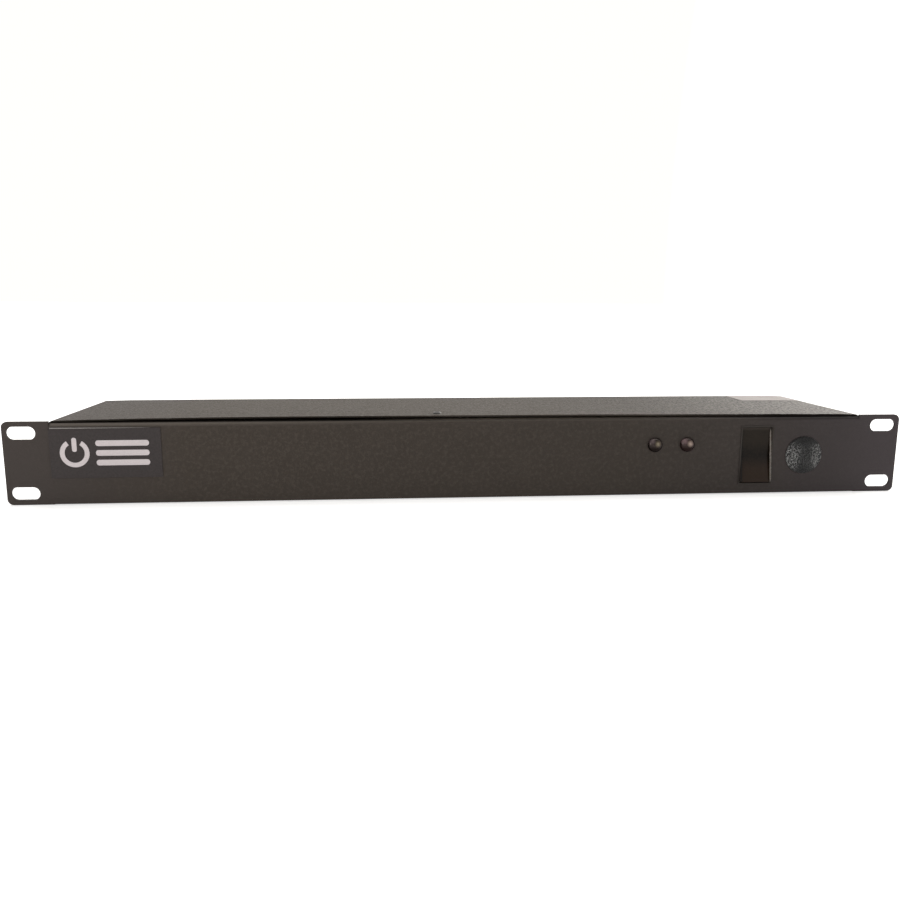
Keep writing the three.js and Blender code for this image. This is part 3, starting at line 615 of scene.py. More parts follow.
def build_tray():
    ri, n, fl = R - SHEET, 14, 12.0
    outer = [(fl, FLZ)] + arc(R, FLZ - R, R, 90, 180, n) + arc(0.8, ZB + 0.8, 0.8, 180, 270, n) + arc(D - R, ZB + R, R, 270, 360, n) + arc(D - R, FLZ - R, R, 0, 90, n) + [(D - fl, FLZ)]
    inner = [(D - fl, FLZ - SHEET)] + arc(D - R, FLZ - R, ri, 90, 0, n) + arc(D - R, ZB + R, ri, 360, 270, n) + arc(R, ZB + R, ri, 270, 180, n) + arc(R, FLZ - R, ri, 180, 90, n) + [(fl, FLZ - SHEET)]
    bh = CASE_W / 2 - 0.7
    add, cut = [], []
    for s in (-1, 1):
        def q(a, b):
            return (min(s * a, s * b), max(s * a, s * b))
        cut.append(box(*q(TX, bh + 1), SHEET + 0.001, D + 1, ZB - 1, ZT + 1))
        xr, xe = bh + RELIEF, PANEL_W / 2
        zb, zt = ZB + R + 0.15, FLZ - R - 0.15
        ear = [(bh - 6, zb), (bh - 0.05, zb), (bh - 0.05, ZB)] + arc(xe - EAR_R, ZB + EAR_R, EAR_R, 270, 360, 16) + arc(xe - EAR_R, ZT - EAR_R, EAR_R, 0, 90, 16)
        ear += [(xr, ZT)] + arc(xr - 0.07, zt + 0.07, 0.07, 0, -90, 6) + [(bh - 6, zt)]
        add.append(prism("y", [(s * x, z) for x, z in ear], 0.0, SHEET))
        add.append(box(*q(TX, TX - 1.5), 12, D - 8, ZB + 0.6, ZB + 10.5))
        for y in SIDE_Y:
            cut.append(cyl("x", y, SIDE_Z, 1.6, s * TX - 3, s * TX + 3, 32))
        for t in (-1, 1):
            cut.append(prism("y", slot_shape(s * 231.9, t * 15.875, 14.6, 6.8, 28), -2, 4))
    add.append(box(SCX - 9, SCX + 9, fl - 2, SCY + 6, FLZ - SHEET, FLZ))
    cut.append(cyl("z", SCX, SCY, 1.6, FLZ - 4, FLZ + 2, 32))
    for x in LAMPS:
        cut.append(cyl("y", x, LAMP_Z, 3.6, -2, 4, 48))
    cut.append(box(SWX - 9.2, SWX + 9.2, -2, 4, -16.87, 15.87))
    cut.append(cyl("y", PX, PZ, 9.4, -2, 4, 64))
    for x in OUTLETS:
        cut.append(box(x - 17.3, x + 17.3, D - 4, D + 2, -12.8, 12.8))
    cut.append(box(IX - 14.3, IX + 14.3, D - 4, D + 2, -10.6, 10.6))
    for s in (-1, 1):
        cut.append(cyl("y", IX + s * 20, 0, 1.6, D - 4, D + 2, 32))
    cut.append(cyl("y", BX, 0, 5.2, D - 4, D + 2, 48))
    o = solid("chassis_tray_formed", prism("x", outer + inner, -bh, bh), add, cut)
    return soften(o, 0.22, 2, 35)


def table(pts, t):
    """Smooth interpolation through (t, value) pairs."""
    if t <= pts[0][0]:
        return pts[0][1]
    for (a, u), (b, v) in zip(pts, pts[1:]):
        if t <= b:
            k = (t - a) / (b - a)
            k = k * k * (3 - 2 * k)
            return u + (v - u) * k
    return pts[-1][1]


CROWN_FRONT = [(-218.5, 0.0), (-212, 0.25), (-196, 0.55), (-168, 0.95), (-130, 1.25), (-95, 1.35), (-20, 1.28), (60, 1.2), (115, 0.85), (165, 0.6), (205, 0.3), (218.5, 0.0)]
CROWN_BACK = [(-218.5, 0.0), (-200, 0.25), (-150, 0.4), (-60, 0.45), (60, 0.55), (150, 0.6), (205, 0.5), (218.5, 0.2)]


def crown(x, y):
    """Rise of the cover sheet over its flat, in mm."""
    k = min(1.0, max(0.0, (y - COVER_FRONT) / (D - COVER_FRONT)))
    k = k ** 0.75
    edge = min(1.0, max(0.0, (218.5 - abs(x)) / 6.0))
    return (table(CROWN_FRONT, x) * (1 - k) + table(CROWN_BACK, x) * k) * edge


def build_cover():
    h, ro, t, n, zb = CASE_W / 2, 1.8, COVER_T, 10, ZB + GAP
    inner = round(h - ro, 4)
    xs = [-inner + 2 * inner * i / 96 for i in range(97)]
    top = arc(h - ro, ZT - ro, ro, 0, 90, n)[:-1] + [(x, ZT) for x in reversed(xs)] + arc(-h + ro, ZT - ro, ro, 90, 180, n)[1:]
    low = arc(-h + ro, ZT - ro, ro - t, 180, 90, n)[:-1] + [(x, ZT - t) for x in xs] + arc(h - ro, ZT - ro, ro - t, 90, 0, n)[1:]
    ring = [(h, zb)] + top + [(-h, zb), (-h + t, zb)] + low + [(h - t, zb)]
    ys = [COVER_FRONT + (D - COVER_FRONT) * (i / 22) for i in range(23)]
    bm = bmesh.new()
    rows = []
    for y in ys:
        rows.append([bm.verts.new(M(x, y, z + (crown(x, y) if z > ZT - ro - 0.5 else 0.0))) for x, z in ring])
    m = len(ring)
    for a, b in zip(rows, rows[1:]):
        for i in range(m):
            bm.faces.new((a[i], b[i], b[(i + 1) % m], a[(i + 1) % m]))
    nt, nl = len(top), len(low)
    for row in (rows[0], rows[-1]):
        # end caps as quads between the outer and the inner skin
        outer = row[0:nt + 2]
        inn = list(reversed(row[nt + 2:]))
        for i in range(len(outer) - 1):
            bm.faces.new((outer[i], outer[i + 1], inn[i + 1], inn[i]))
    cut = [cyl("z", SCX, SCY, 1.6, ZT - 4, ZT + 3, 32)]
    for s in (-1, 1):
        for y in SIDE_Y:
            cut.append(cyl("x", y, SIDE_Z, 1.6, s * h - 3, s * h + 3, 32))
    o = solid("top_cover_formed", bm, [], cut)
    return soften(o, 0.16, 2, 50)


piece(build_tray(), mt_panel, "case", "powder_coat", "chassis_tray")
piece(build_cover(), mt_cover, "case", "powder_coat_cover", "top_cover")

# ------------------------------------------------------------------ badge with a plain mark, and the rating label
BADGE = (-218.0, -161.9, -7.8, 18.4)
def build_badge():
    """Thin plate whose upper edge is eased back more at its left end."""
    x0, x1, z0, z1 = BADGE
    n = 40
    bm = bmesh.new()
    rows = []
    for i in range(n + 1):
        x = x0 + (x1 - x0) * i / n
        k = min(1.0, max(0.0, 1.15 - i / n * 1.25))
        c = 0.10 + 0.42 * k
        f = -0.30 - 0.28 * k
        ring = [(f, z0 + 0.1), (f, z1 - c), (f * 0.55, z1 - c * 0.45), (-0.03, z1), (-0.01, z1), (-0.01, z0), (f + 0.1, z0)]
        rows.append([bm.verts.new(M(x, y, z)) for y, z in ring])
    for a, b in zip(rows, rows[1:]):
        for i in range(7):
            bm.faces.new((a[i], b[i], b[(i + 1) % 7], a[(i + 1) % 7]))
    bm.faces.new(rows[0])
    bm.faces.new(list(reversed(rows[-1])))
    return smooth(soften(solid("badge_satin_plate", bm), 0.05, 2, 50))


piece(build_badge(), mt_badge, "case", "badge", "badge_plate")


# painted highlight: a pale strip stands a little off the badge's top edge, widest at the left, for the edge catching
# the light
bm = bmesh.new()
rows = []
for i in range(31):
    t = i / 30
    x = BADGE[0] + 0.8 + 50.0 * t
    hgt = 0.52 * (1 - t) ** 0.8 + 0.03
    rows.append([bm.verts.new(M(x, y, z)) for y, z in ((-0.62, BADGE[3] - hgt * 0.5), (-0.60, BADGE[3] - hgt * 0.5 + hgt), (-0.50, BADGE[3] - hgt * 0.5 + hgt), (-0.52, BADGE[3] - hgt * 0.5))])
for a, b in zip(rows, rows[1:]):
    for i in range(4):
        bm.faces.new((a[i], b[i], b[(i + 1) % 4], a[(i + 1) % 4]))
bm.faces.new(rows[0])
bm.faces.new(list(reversed(rows[-1])))
piece(obj_from("badge_top_painted_highlight", bm), mt_badge_edge, "case", "badge")


def badge_front(x):
    k = min(1.0, max(0.0, 1.15 - (x - BADGE[0]) / (BADGE[1] - BADGE[0]) * 1.25))
    return -0.30 - 0.28 * k


def flat_shape(name, outline):
    """A thin raised print that lies on the plate's front."""
    bm = prism("y", outline, -0.05, 0.0)
    lo = min(v.co.y for v in bm.verts)
    for v in bm.verts:
        x = v.co.x * 1000.0
        front = badge_front(x)
        y = front - 0.035 if v.co.y <= lo + 1e-7 else front + 0.03
        v.co.y = (y + YS) / 1000.0
    return obj_from(name, bm)


# generic power symbol: an open ring with a short bar, and three plain level bars beside it
def ring_arc(cx, cz, r0, r1, a0, a1, n=64):
    return arc(cx, cz, r1, a0, a1, n) + arc(cx, cz, r0, a1, a0, n)


mx, mz = -205.6, 5.3
piece(flat_shape("badge_ring", ring_arc(mx, mz, 5.0, 7.4, 122, 418)), mt_mark, "case", "label")
piece(flat_shape("badge_bar", round_rect(mx, mz + 4.4, 2.4, 7.4, 1.1, 5)), mt_mark, "case", "label")
for i, (dz, w) in enumerate(((5.1, 27.0), (0.0, 27.0), (-5.1, 27.0))):
    piece(flat_shape(f"badge_level_{i + 1}", round_rect(-181.5, mz + dz, w, 3.0, 1.4, 5)), mt_mark, "case", "label")

bm = bmesh.new()
gx = [178.3 + 38.3 * i / 28 for i in range(29)]
gy = [63.0 + 25.2 * i / 12 for i in range(13)]
lay = [[[bm.verts.new(M(x, y, ZT + crown(x, y) + h)) for x in gx] for y in gy] for h in (0.012, 0.15)]
for j in range(12):
    for i in range(28):
        for k in (0, 1):
            bm.faces.new((lay[k][j][i], lay[k][j][i + 1], lay[k][j + 1][i + 1], lay[k][j + 1][i]))
loop = [(0, i) for i in range(28)] + [(j, 28) for j in range(12)] + [(12, i) for i in range(28, 0, -1)] + [(j, 0) for j in range(12, 0, -1)]
for (j, i), (q, p) in zip(loop, loop[1:] + loop[:1]):
    bm.faces.new((lay[0][j][i], lay[0][q][p], lay[1][q][p], lay[1][j][i]))
o = solid("rating_label_blank", bm)
piece(soften(o, 0.05, 2, 40), mt_label, "case", "label", "rating_label")


# ------------------------------------------------------------------ screws
def cross_cut(w, l, depth, top):
    """Tapered cross recess, as two (angle, w, l, depth, top) entries, one for each arm."""
    out = []
    for ang in (0, 90):
        out.append((ang, w, l, depth, top))
    return out


def screw(name, axis, a, b, seat, direction, r=2.75, h=1.3, shank=1.25, length=5.2, turn=20):
    k = direction
    prof = [(0, seat - k * length), (shank, seat - k * length)]
    th = 10
    for i in range(th):       # thread ridges
        y = seat - k * (length - 0.3 - i * (length - 0.6) / th)
        prof += [(shank, y), (shank * 0.86, y + k * 0.2)]
    prof += [(shank, seat), (r * 0.97, seat + k * 0.02), (r, seat + k * 0.12)]
    for i in range(1, 9):
        t = i / 8 * math.pi / 2
        prof.append((r * math.cos(t) ** 0.75 if i < 8 else 0.0, seat + k * (0.12 + h * math.sin(t))))
    o = solid(name, lathe(axis, a, b, prof, 48), [], [])
    cuts = []
    for ang in (turn, turn + 90):
        bm = bmesh.new()
        ca, sa = math.cos(math.radians(ang)), math.sin(math.radians(ang))
        top, bot = seat + k * (h + 0.8), seat + k * (h * 0.25)
        rows = []
        for lv, (L, W) in ((bot, (0.55, 0.22)), (top, (1.75, 0.42))):
            ring = []
            for su, sv in ((-1, -1), (1, -1), (1, 1), (-1, 1)):
                u, v = su * L * ca - sv * W * sa, su * L * sa + sv * W * ca
                ring.append(bm.verts.new(place(axis, a + u, b + v, lv)))
            rows.append(ring)
        bm.faces.new(rows[0])
        bm.faces.new(rows[1])
        for i in range(4):
            bm.faces.new((rows[0][i], rows[0][(i + 1) % 4], rows[1][(i + 1) % 4], rows[1][i]))
        cuts.append(bm)
    boolean(o, [obj_from("t", c) for c in cuts], "DIFFERENCE")
    return soften(o, 0.05, 1, 45)


for nm, args in {
    "cover_screw_front": ("z", SCX, SCY, ZT + crown(SCX, SCY) - 0.02, 1, 2.3, 0.92),
    "cover_screw_left_fore": ("x", SIDE_Y[0], SIDE_Z, -CASE_W / 2, -1), "cover_screw_left_back": ("x", SIDE_Y[1], SIDE_Z, -CASE_W / 2, -1),
    "cover_screw_right_fore": ("x", SIDE_Y[0], SIDE_Z, CASE_W / 2, 1), "cover_screw_right_back": ("x", SIDE_Y[1], SIDE_Z, CASE_W / 2, 1),
}.items():
    piece(screw(nm + "_head", *args), mt_screw, "case", "screw", nm)

# ------------------------------------------------------------------ indicator lamps
for side, x, mat, sl in (("left", LAMPS[0], mt_lens_a, "lens_amber"), ("right", LAMPS[1], mt_lens_r, "lens_red")):
    prof = [(0, -3.2)]
    rr, base = 3.98, -0.55
    for i in range(1, 25):
        t = i / 24 * math.pi / 2
        prof.append((rr * math.sin(t), base - 2.65 * math.cos(t)))
    prof += [(4.0, -0.02), (3.25, -0.01), (3.25, 5.4), (3.1, 5.5), (0, 5.5)]
    piece(smooth(solid(f"lamp_{side}_dome", lathe("y", x, LAMP_Z, prof, 72))), mat, "case", sl, f"lamp_{side}_lens")

# ------------------------------------------------------------------ rocker switch
OZ0, OZ1 = -16.05, 15.35      # the bezel's opening in z
hs = solid("switch_housing_moulded", prism("y", round_rect(SWX, -0.5, 19.1, 33.3, 0.8, 6), -0.35, -0.01),
           [box(SWX - 9.15, SWX + 9.15, -0.2, 8.0, -16.8, 15.8), box(SWX - 8.6, SWX + 8.6, 7.5, 23.2, SWZ - 15.4, SWZ + 15.4)],
           [box(SWX - 8.85, SWX + 8.85, -4, 7.2, OZ0, OZ1), box(SWX - 8.85, SWX + 8.85, 0.15, 7.2, -16.5, 15.5), box(SWX - 8.2, SWX + 8.2, 7.0, 21.6, SWZ - 15.0, SWZ + 15.0),
            cyl("x", 4.6, SWZ, 1.85, SWX - 10, SWX + 10, 40),
            box(SWX - 3.4, SWX + 3.4, 19, 26, SWZ - 0.75, SWZ + 0.75), box(SWX - 3.4, SWX + 3.4, 19, 26, SWZ - 8.4 - 0.75, SWZ - 8.4 + 0.75)])
piece(soften(hs, 0.15, 3, 35), mt_frame, "case", "switch_black", "switch_housing")
# painted light: paler strips on the opening's side walls, lifting the shade there
for nm, xa, xb in (("left", SWX - 8.84, SWX - 8.79), ("right", SWX + 8.77, SWX + 8.84)):
    piece(solid(f"switch_wall_painted_light_{nm}", box(xa, xb, -0.30, 2.6, OZ0 + 0.05, OZ1 - 0.05)), mt_wall_painted_light, "case", "switch_black")

TILT = -math.radians(6.0)


def tilted(pts):
    """Rocker outline in its own (y, z) about the pivot, turned to the rest position."""
    return [(4.6 + y * math.cos(TILT) - z * math.sin(TILT), SWZ + y * math.sin(TILT) + z * math.cos(TILT)) for y, z in pts]


def build_rocker():
    y_end, rr = -4.65, 15.87
    z_end = math.sqrt(rr * rr - y_end * y_end)
    a0 = math.degrees(math.atan2(z_end, y_end))
    face = []
    for i in range(-16, 17):
        t = i / 16
        face.append((-3.17 - 1.5 * math.sqrt(t * t + 0.006) ** 1.12 + 0.02, -z_end * t))
    low = arc(0, 0, rr, 360 - a0, 360 - a0 + 3.6, 3)[1:] + arc(0, 0, 14.9, 360 - a0 + 4.6, 278, 6)
    pts = face + low + [(3.2, -6), (5.2, -4.2), (5.2, 4.2), (3.2, 6)] + [(y, -z) for y, z in reversed(low)]
    pts = tilted(pts)
    pts.reverse()
    o = solid("switch_rocker_moulded", prism("x", pts, SWX - 7.95, SWX + 7.95), [cyl("x", 4.6, SWZ, 1.5, SWX - 9.1, SWX + 9.1, 32)], [])
    bore = cyl("y", SWX, SWZ, 1.8, 3.6, 11.6, 32)
    rot = Matrix.Translation(M(SWX, 4.6, SWZ)) @ Matrix.Rotation(TILT, 4, "X") @ Matrix.Translation(-M(SWX, 4.6, SWZ))
    bmesh.ops.transform(bore, matrix=rot, verts=bore.verts)
    boolean(o, [obj_from("t", bore)], "DIFFERENCE")
    return soften(o, 0.22, 4, 32)


piece(build_rocker(), mt_rocker, "rocker", "rocker", "switch_rocker")

# straight rails along the rocker's sides, and a bead along the right one with a painted highlight
rail = tilted([(-4.2, 15.05), (-5.05, -15.0), (-2.2, -14.95), (-2.2, 15.0)])
for nm, xa, xb, mat in (("left", SWX - 8.6, SWX - 7.9, mt_rail), ("right", SWX + 7.9, SWX + 8.2, mt_rail)):
    o = solid(f"switch_rocker_rail_{nm}", prism("x", rail, xa, xb))
    piece(soften(o, 0.12, 3, 35), mat, "rocker", "rocker")
(ya, za), (yb, zb) = tilted([(-4.05, 15.0)])[0], tilted([(-4.9, -14.9)])[0]
bm = bmesh.new()
rows = []
for i in range(25):
    t = i / 24
    y, z = ya + (yb - ya) * t, za + (zb - za) * t
    k = min(1.0, 0.35 + 0.65 * math.sqrt(max(0.0, min(t, 1 - t) * 24 / 1.5)))
    rows.append([bm.verts.new(M(SWX + 8.18 + 0.50 * k * math.cos(a), y - 0.15 + 0.5 * k * math.sin(a), z)) for a in [2 * math.pi * j / 20 for j in range(20)]])
for a, b in zip(rows, rows[1:]):
    for j in range(20):
        bm.faces.new((a[j], b[j], b[(j + 1) % 20], a[(j + 1) % 20]))
bm.faces.new(rows[0])
bm.faces.new(list(reversed(rows[-1])))
piece(smooth(obj_from("switch_rocker_bead", bm)), mt_rim, "rocker", "rocker")


# ------------------------------------------------------------------ domed hole plug, with a moulded grain in the mesh
def build_plug():
    prof = [(0, -2.55)]
    dome_n = 44
    for i in range(1, dome_n + 1):
        t = i / dome_n
        r = 10.05 * t
        prof.append((r, -2.55 + 1.8 * t ** 2.2))
    prof += [(10.23, -0.62), (10.33, -0.45), (10.35, -0.25), (10.31, -0.06), (10.15, -0.01), (9.0, -0.01), (9.0, 1.9), (9.9, 2.5), (8.9, 6.5), (7.8, 6.5), (7.8, -0.2), (6.0, -0.9), (0, -1.2)]

    def grain(u, v, h):
        if h > -0.7 or h == -1.2 or h == -0.9:
            return 0.0
        r = math.hypot(u, v)
        fade = min(1.0, max(0.0, (10.0 - r) / 1.0))
        d, _ = noise.voronoi(Vector((u * 1.15, v * 1.15, 0.0)))
        edge = min(1.0, max(0.0, (d[1] - d[0]) / 0.35))
        n = noise.noise(Vector((u * 2.1, v * 2.1, 3.7)))
        return fade * (0.16 * (1.0 - edge) + 0.10 * n)

    bm = lathe("y", PX, PZ, prof, 176, fn=grain)
    o = solid("hole_plug_domed", bm, [], [box(PX - 1.5, PX + 1.5, 1.2, 8, -12, 12), box(PX - 12, PX + 12, 1.2, 8, -1.5, 1.5)])
    return smooth(o)


piece(build_plug(), mt_plug, "case", "plug", "hole_plug")

# ------------------------------------------------------------------ rear outlets
def build_outlet(x):
    add = [prism("y", round_rect(x, 0, 34, 24, 3, 8), D + 2, D + 3.6), box(x - 17, x + 17, D - 24, D + 1, -12.5, 12.5)]
    u = [(x + 4.2, -2.7), (x + 6.9, -2.7)] + arc(x + 6.9, 0, 2.7, -90, 90, 16)[1:-1] + [(x + 6.9, 2.7), (x + 4.2, 2.7)]
    cut = [box(x - 9.2, x - 0.8, D - 14, D + 6, 5.1, 7.5), box(x - 8.6, x - 1.4, D - 14, D + 6, -7.5, -5.1), prism("y", u, D - 14, D + 6)]
    o = solid(f"t_outlet", prism("y", round_rect(x, 0, 38, 27.4, 2, 8), D + 0.01, D + 2.4), add, cut)
    return soften(o, 0.3, 3, 35)


proto = build_outlet(OUTLETS[0])
clips_bm = bmesh.new()
x0 = OUTLETS[0]
for (a, b, c, d) in ((x0 - 8.6, x0 - 1.4, 5.35, 5.75), (x0 - 8.6, x0 - 1.4, 6.85, 7.25), (x0 - 8.0, x0 - 2.0, -5.75, -5.35), (x0 - 8.0, x0 - 2.0, -7.25, -6.85)):
    box(a, b, D - 12, D - 3.5, c, d, clips_bm)
clips = soften(obj_from("t_clips", clips_bm), 0.1, 2, 40)
for i, x in enumerate(OUTLETS):
    for src, nm, mat, sl, rep in ((proto, f"outlet_{i + 1}_moulded", mt_outlet, "outlet", [f"outlet_{i + 1}"]), (clips, f"outlet_{i + 1}_clips", mt_brass, "brass", [])):
        me = src.data.copy()
        me.transform(Matrix.Translation(Vector(((x - OUTLETS[0]) / 1000.0, 0, 0))))
        o = bpy.data.objects.new(nm, me)
        S.collection.objects.link(o)
        piece(o, mat, "case", sl, *rep)
for t in (proto, clips):
    bpy.data.objects.remove(t)

# ------------------------------------------------------------------ appliance inlet
fl = arc(IX + 20, 0, 5, -62, 62, 16) + [(IX + 14.6, 12), (IX - 14.6, 12)] + arc(IX - 20, 0, 5, 118, 242, 16) + [(IX - 14.6, -12), (IX + 14.6, -12)]
w, hh, c = 24.8, 17.0, 4.5
rec = [(IX - w / 2, -hh / 2), (IX + w / 2, -hh / 2), (IX + w / 2, hh / 2 - c), (IX + w / 2 - c, hh / 2), (IX - w / 2 + c, hh / 2), (IX - w / 2, hh / 2 - c)]
cut = [prism("y", rec, D - 13.6, D + 6)]
for px, pz in ((-7, -2), (7, -2), (0, 2)):
    cut.append(box(IX + px - 1.35, IX + px + 1.35, D - 20, D - 12, pz - 2.35, pz + 2.35))
for s in (-1, 1):
    cut.append(lathe("y", IX + s * 20, 0, [(0, D - 2), (1.65, D - 2), (1.65, D + 1.2), (3.9, D + 3.5), (3.9, D + 5), (0, D + 5)], 40))
o = solid("inlet_body_moulded", prism("y", fl, D + 0.01, D + 3.4), [box(IX - 14, IX + 14, D - 18, D + 1, -10.3, 10.3)], cut)
piece(soften(o, 0.3, 3, 35), mt_inlet, "case", "outlet", "inlet_body")
for nm, px, pz in (("line", -7, -2), ("neutral", 7, -2), ("ground", 0, 2)):
    o = solid(f"inlet_pin_{nm}_blade", prism("x", [(D - 28, pz - 2), (D - 1.6, pz - 2), (D - 0.6, pz - 1.2), (D - 0.6, pz + 1.2), (D - 1.6, pz + 2), (D - 28, pz + 2)], IX + px - 1, IX + px + 1))
    piece(soften(o, 0.3, 3, 20), mt_nickel, "case", "nickel", f"inlet_pin_{nm}")
for nm, s in (("left", -1), ("right", 1)):
    x = IX + s * 20
    o = solid(f"inlet_screw_{nm}_head", lathe("y", x, 0, [(0, D - 6), (1.25, D - 6), (1.25, D + 1.35), (3.2, D + 3.3), (3.3, D + 3.45), (2.6, D + 3.62), (1.4, D + 3.74), (0, D + 3.78)], 48))
    cuts = []
    for ang in (35, 125):
        bm = bmesh.new()
        ca, sa = math.cos(math.radians(ang)), math.sin(math.radians(ang))
        rows = []
        for lv, (L, W) in ((D + 2.2, (0.5, 0.22)), (D + 4.6, (2.0, 0.45))):
            rows.append([bm.verts.new(M(x + su * L * ca - sv * W * sa, lv, su * L * sa + sv * W * ca)) for su, sv in ((-1, -1), (1, -1), (1, 1), (-1, 1))])
        bm.faces.new(rows[0]); bm.faces.new(rows[1])
        for i in range(4):
            bm.faces.new((rows[0][i], rows[0][(i + 1) % 4], rows[1][(i + 1) % 4], rows[1][i]))
        cuts.append(obj_from("t", bm))
    boolean(o, cuts, "DIFFERENCE")
    piece(soften(o, 0.05, 1, 45), mt_nickel, "case", "nickel", f"inlet_screw_{nm}")

# ------------------------------------------------------------------ circuit breaker
prof = [(0, D - 3), (4.9, D - 3)]
y = D - 2.6
while y < D + 5.9:
    prof += [(4.9, y), (4.62, y + 0.25), (4.9, y + 0.5)]
    y += 0.55
prof += [(4.75, D + 6.3), (4.6, D + 6.4), (0, D + 6.4)]
o = solid("breaker_body_moulded", box(BX - 7, BX + 7, D - 26, D - 1.8, -11, 11),
          [lathe("y", BX, 0, prof, 56), box(BX - 3, BX + 3, D - 34, D - 25, -6.4, -5.6), box(BX - 3, BX + 3, D - 34, D - 25, 5.6, 6.4)],
          [cyl("y", BX, 0, 3.4, D - 13, D + 8, 48)])
piece(soften(o, 0.12, 2, 50), mt_breaker, "case", "breaker", "breaker_body")
o = solid("breaker_nut_hex", prism("y", arc(BX, 0, 8, 0, 300, 5), D + 0.01, D + 2.8), [], [cyl("y", BX, 0, 5.25, D - 1, D + 5, 48)])
chamfer = lathe("y", BX, 0, [(0, D - 1), (8.3, D - 1), (8.3, D + 1.9), (7.0, D + 2.85), (7.0, D + 3.2), (0, D + 3.2)], 64)
boolean(o, [obj_from("t", chamfer)], "INTERSECT")
piece(soften(o, 0.12, 2, 35), mt_nickel, "case", "nickel", "breaker_nut")
prof = [(0, D - 6), (2.9, D - 6), (3.0, D - 5.8), (3.0, D + 8.3)] + [(3.0 - 0.6 * (1 - math.cos(t)), D + 8.3 + 0.6 * math.sin(t)) for t in [i / 8 * math.pi / 2 for i in range(1, 9)]] + [(1.6, D + 8.92), (0.8, D + 8.8), (0, D + 8.76)]
piece(smooth(solid("breaker_button_moulded", lathe("y", BX, 0, prof, 56))), mt_button, "reset_button", "button", "breaker_button")

# ------------------------------------------------------------------ CAD nodes that stay, with their own finish
KEEP = {
    "lamp_left_body": mt_nylon, "lamp_right_body": mt_nylon, "lamp_left_leads": mt_wblack, "lamp_right_leads": mt_wblack,
    "switch_terminal_feed": mt_brass, "switch_terminal_load": mt_brass, "switch_plunger": mt_brass, "switch_spring": mt_steel, "switch_contact_arm": mt_brass,
    "bus_bar_line": mt_brass, "bus_bar_neutral": mt_brass, "bus_bar_ground": mt_nickel, "breaker_spring": mt_steel,
    "surge_board": mt_board, "varistor_1": mt_mov, "varistor_2": mt_mov, "filter_capacitor": mt_film, "choke_ring": mt_ferrite,
    "board_standoff_left": mt_nickel, "board_standoff_right": mt_nickel, "ground_stud": mt_steel, "ground_nut": mt_nickel,
    "wire_inlet_to_breaker": mt_wblack, "wire_breaker_to_switch": mt_wblack, "wire_switch_to_bus": mt_wblack,
    "wire_neutral_to_bus": mt_wwhite, "wire_inlet_to_stud": mt_wgreen, "wire_stud_to_bus": mt_wgreen,
}
for nm, m in KEEP.items():
    ob = NODES[nm]
    ob.data.materials.clear()
    ob.data.materials.append(m)

# ------------------------------------------------------------------ floor, world, lights, camera
fm = Mat("floor_white")
fm.set(Base_Color=fm.mix(fm.ramp(fm.noise(3, 2, 0.5), 0.3, 0.7, 0, 1), (0.86, 0.86, 0.86), (0.88, 0.88, 0.88)), Roughness=0.9)
fm.bsdf.inputs["Specular IOR Level"].default_value = 0.1
fm.bsdf.inputs["Emission Color"].default_value = (1, 1, 1, 1)
fm.bsdf.inputs["Emission Strength"].default_value = FLOOR_GLOW
bm = bmesh.new()
sz = 30.0
bm.faces.new([bm.verts.new((x, y, -0.0002)) for x, y in ((-sz, -sz), (sz, -sz), (sz, sz), (-sz, sz))])
floor = obj_from("floor", bm)
floor.data.materials.append(fm.m)

world = bpy.data.worlds.new("studio")
S.world = world
world.use_nodes = True
wn = world.node_tree
wn.nodes.clear()
wo = wn.nodes.new("ShaderNodeOutputWorld")
bg = wn.nodes.new("ShaderNodeBackground")
tcw = wn.nodes.new("ShaderNodeTexCoord")
sep = wn.nodes.new("ShaderNodeSeparateXYZ")
wn.links.new(tcw.outputs["Generated"], sep.inputs[0])


def wrange(src, a, b, lo, hi):
    mr = wn.nodes.new("ShaderNodeMapRange")
    wn.links.new(src, mr.inputs["Value"])
    for k, v in (("From Min", a), ("From Max", b), ("To Min", lo), ("To Max", hi)):
        mr.inputs[k].default_value = v
    return mr.outputs[0]


def wmath(op, a, b):
    n = wn.nodes.new("ShaderNodeMath")
    n.operation = op
    for i, v in enumerate((a, b)):
        if hasattr(v, "is_linked"):
            wn.links.new(v, n.inputs[i])
        else:
            n.inputs[i].default_value = v
    return n.outputs[0]


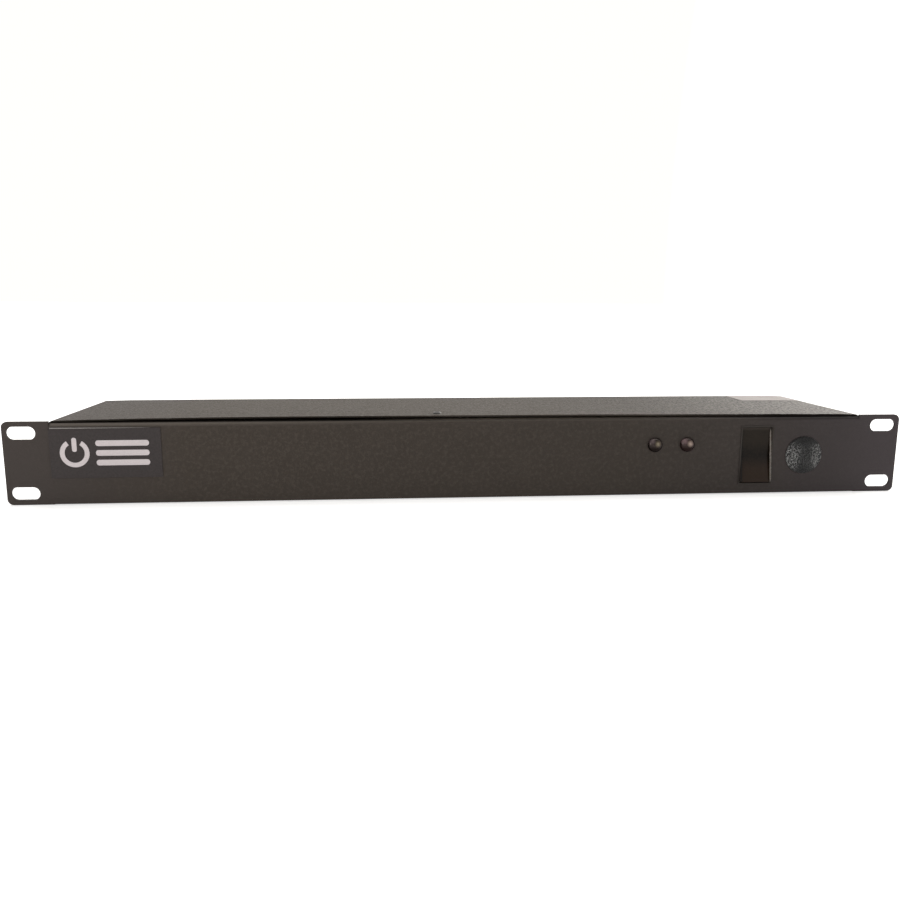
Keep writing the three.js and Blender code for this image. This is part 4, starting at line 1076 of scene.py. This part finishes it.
# the room: dimmer in front, bright behind, with a brighter wall to the back right
base_w = wrange(sep.outputs["Y"], -0.5, 0.5, WORLD_FRONT, WORLD_BACK)
side_w = wrange(sep.outputs["X"], 0.33, 0.62, 0.0, WORLD_RIGHT)
back_w = wrange(sep.outputs["Y"], 0.1, 0.5, 0.0, 1.0)
wn.links.new(wmath("ADD", base_w, wmath("MULTIPLY", side_w, back_w)), bg.inputs["Strength"])
bg.inputs["Color"].default_value = (1.0, 0.97, 0.935, 1)
wn.links.new(bg.outputs[0], wo.inputs[0])


def area(name, loc, target, size, power, size_y=None, color=(1, 1, 1)):
    l = bpy.data.lights.new(name, "AREA")
    l.energy = power
    l.color = color
    l.shape = "RECTANGLE"
    l.size = size
    l.size_y = size_y or size
    o = bpy.data.objects.new(name, l)
    S.collection.objects.link(o)
    o.location = loc
    d = Vector(target) - Vector(loc)
    o.rotation_euler = d.to_track_quat("-Z", "Y").to_euler()
    o.visible_camera = False
    return o


area("softbox_top", (0.0, 0.2, 1.6), (0, 0, 0), 2.2, 14.0, 1.6)
area("card_right", (0.84, -1.07, 0.21), (0.12, 0.0, 0.02), 0.42, 1.7, 0.5)
area("card_left", (-1.5, -0.75, 0.40), (-0.1, 0.0, 0.02), 0.45, 4.5, 0.7)

C = Vector((-47.8851, -428.9839, 83.4985))
rv = Vector((0.1812615, -0.0849837, -0.0039469))
FPX, CX, CY = 814.8734, 450.0, 450.0
Rm = Matrix.Rotation(rv.length, 3, rv.normalized()) @ Matrix(((1, 0, 0), (0, 0, -1), (0, 1, 0)))
cam = bpy.data.cameras.new("camera")
co = bpy.data.objects.new("camera", cam)
S.collection.objects.link(co)
right, down, fwd = Rm[0], Rm[1], Rm[2]
rot = Matrix((right, -down, -fwd)).transposed()
co.matrix_world = Matrix.Translation(M(*C)) @ rot.to_4x4()
cam.sensor_width = 36.0
cam.sensor_fit = "HORIZONTAL"
cam.lens = FPX / 900.0 * 36.0
cam.shift_x = -(CX - 450.0) / 900.0
cam.shift_y = (CY - 450.0) / 900.0
cam.clip_start, cam.clip_end = 0.01, 100.0
cam.dof.use_dof = False
S.camera = co
S.view_settings.view_transform = "Standard"
S.view_settings.look = "None"
S.view_settings.exposure = 0.0
S.view_settings.gamma = 1.0

bpy.context.view_layer.update()
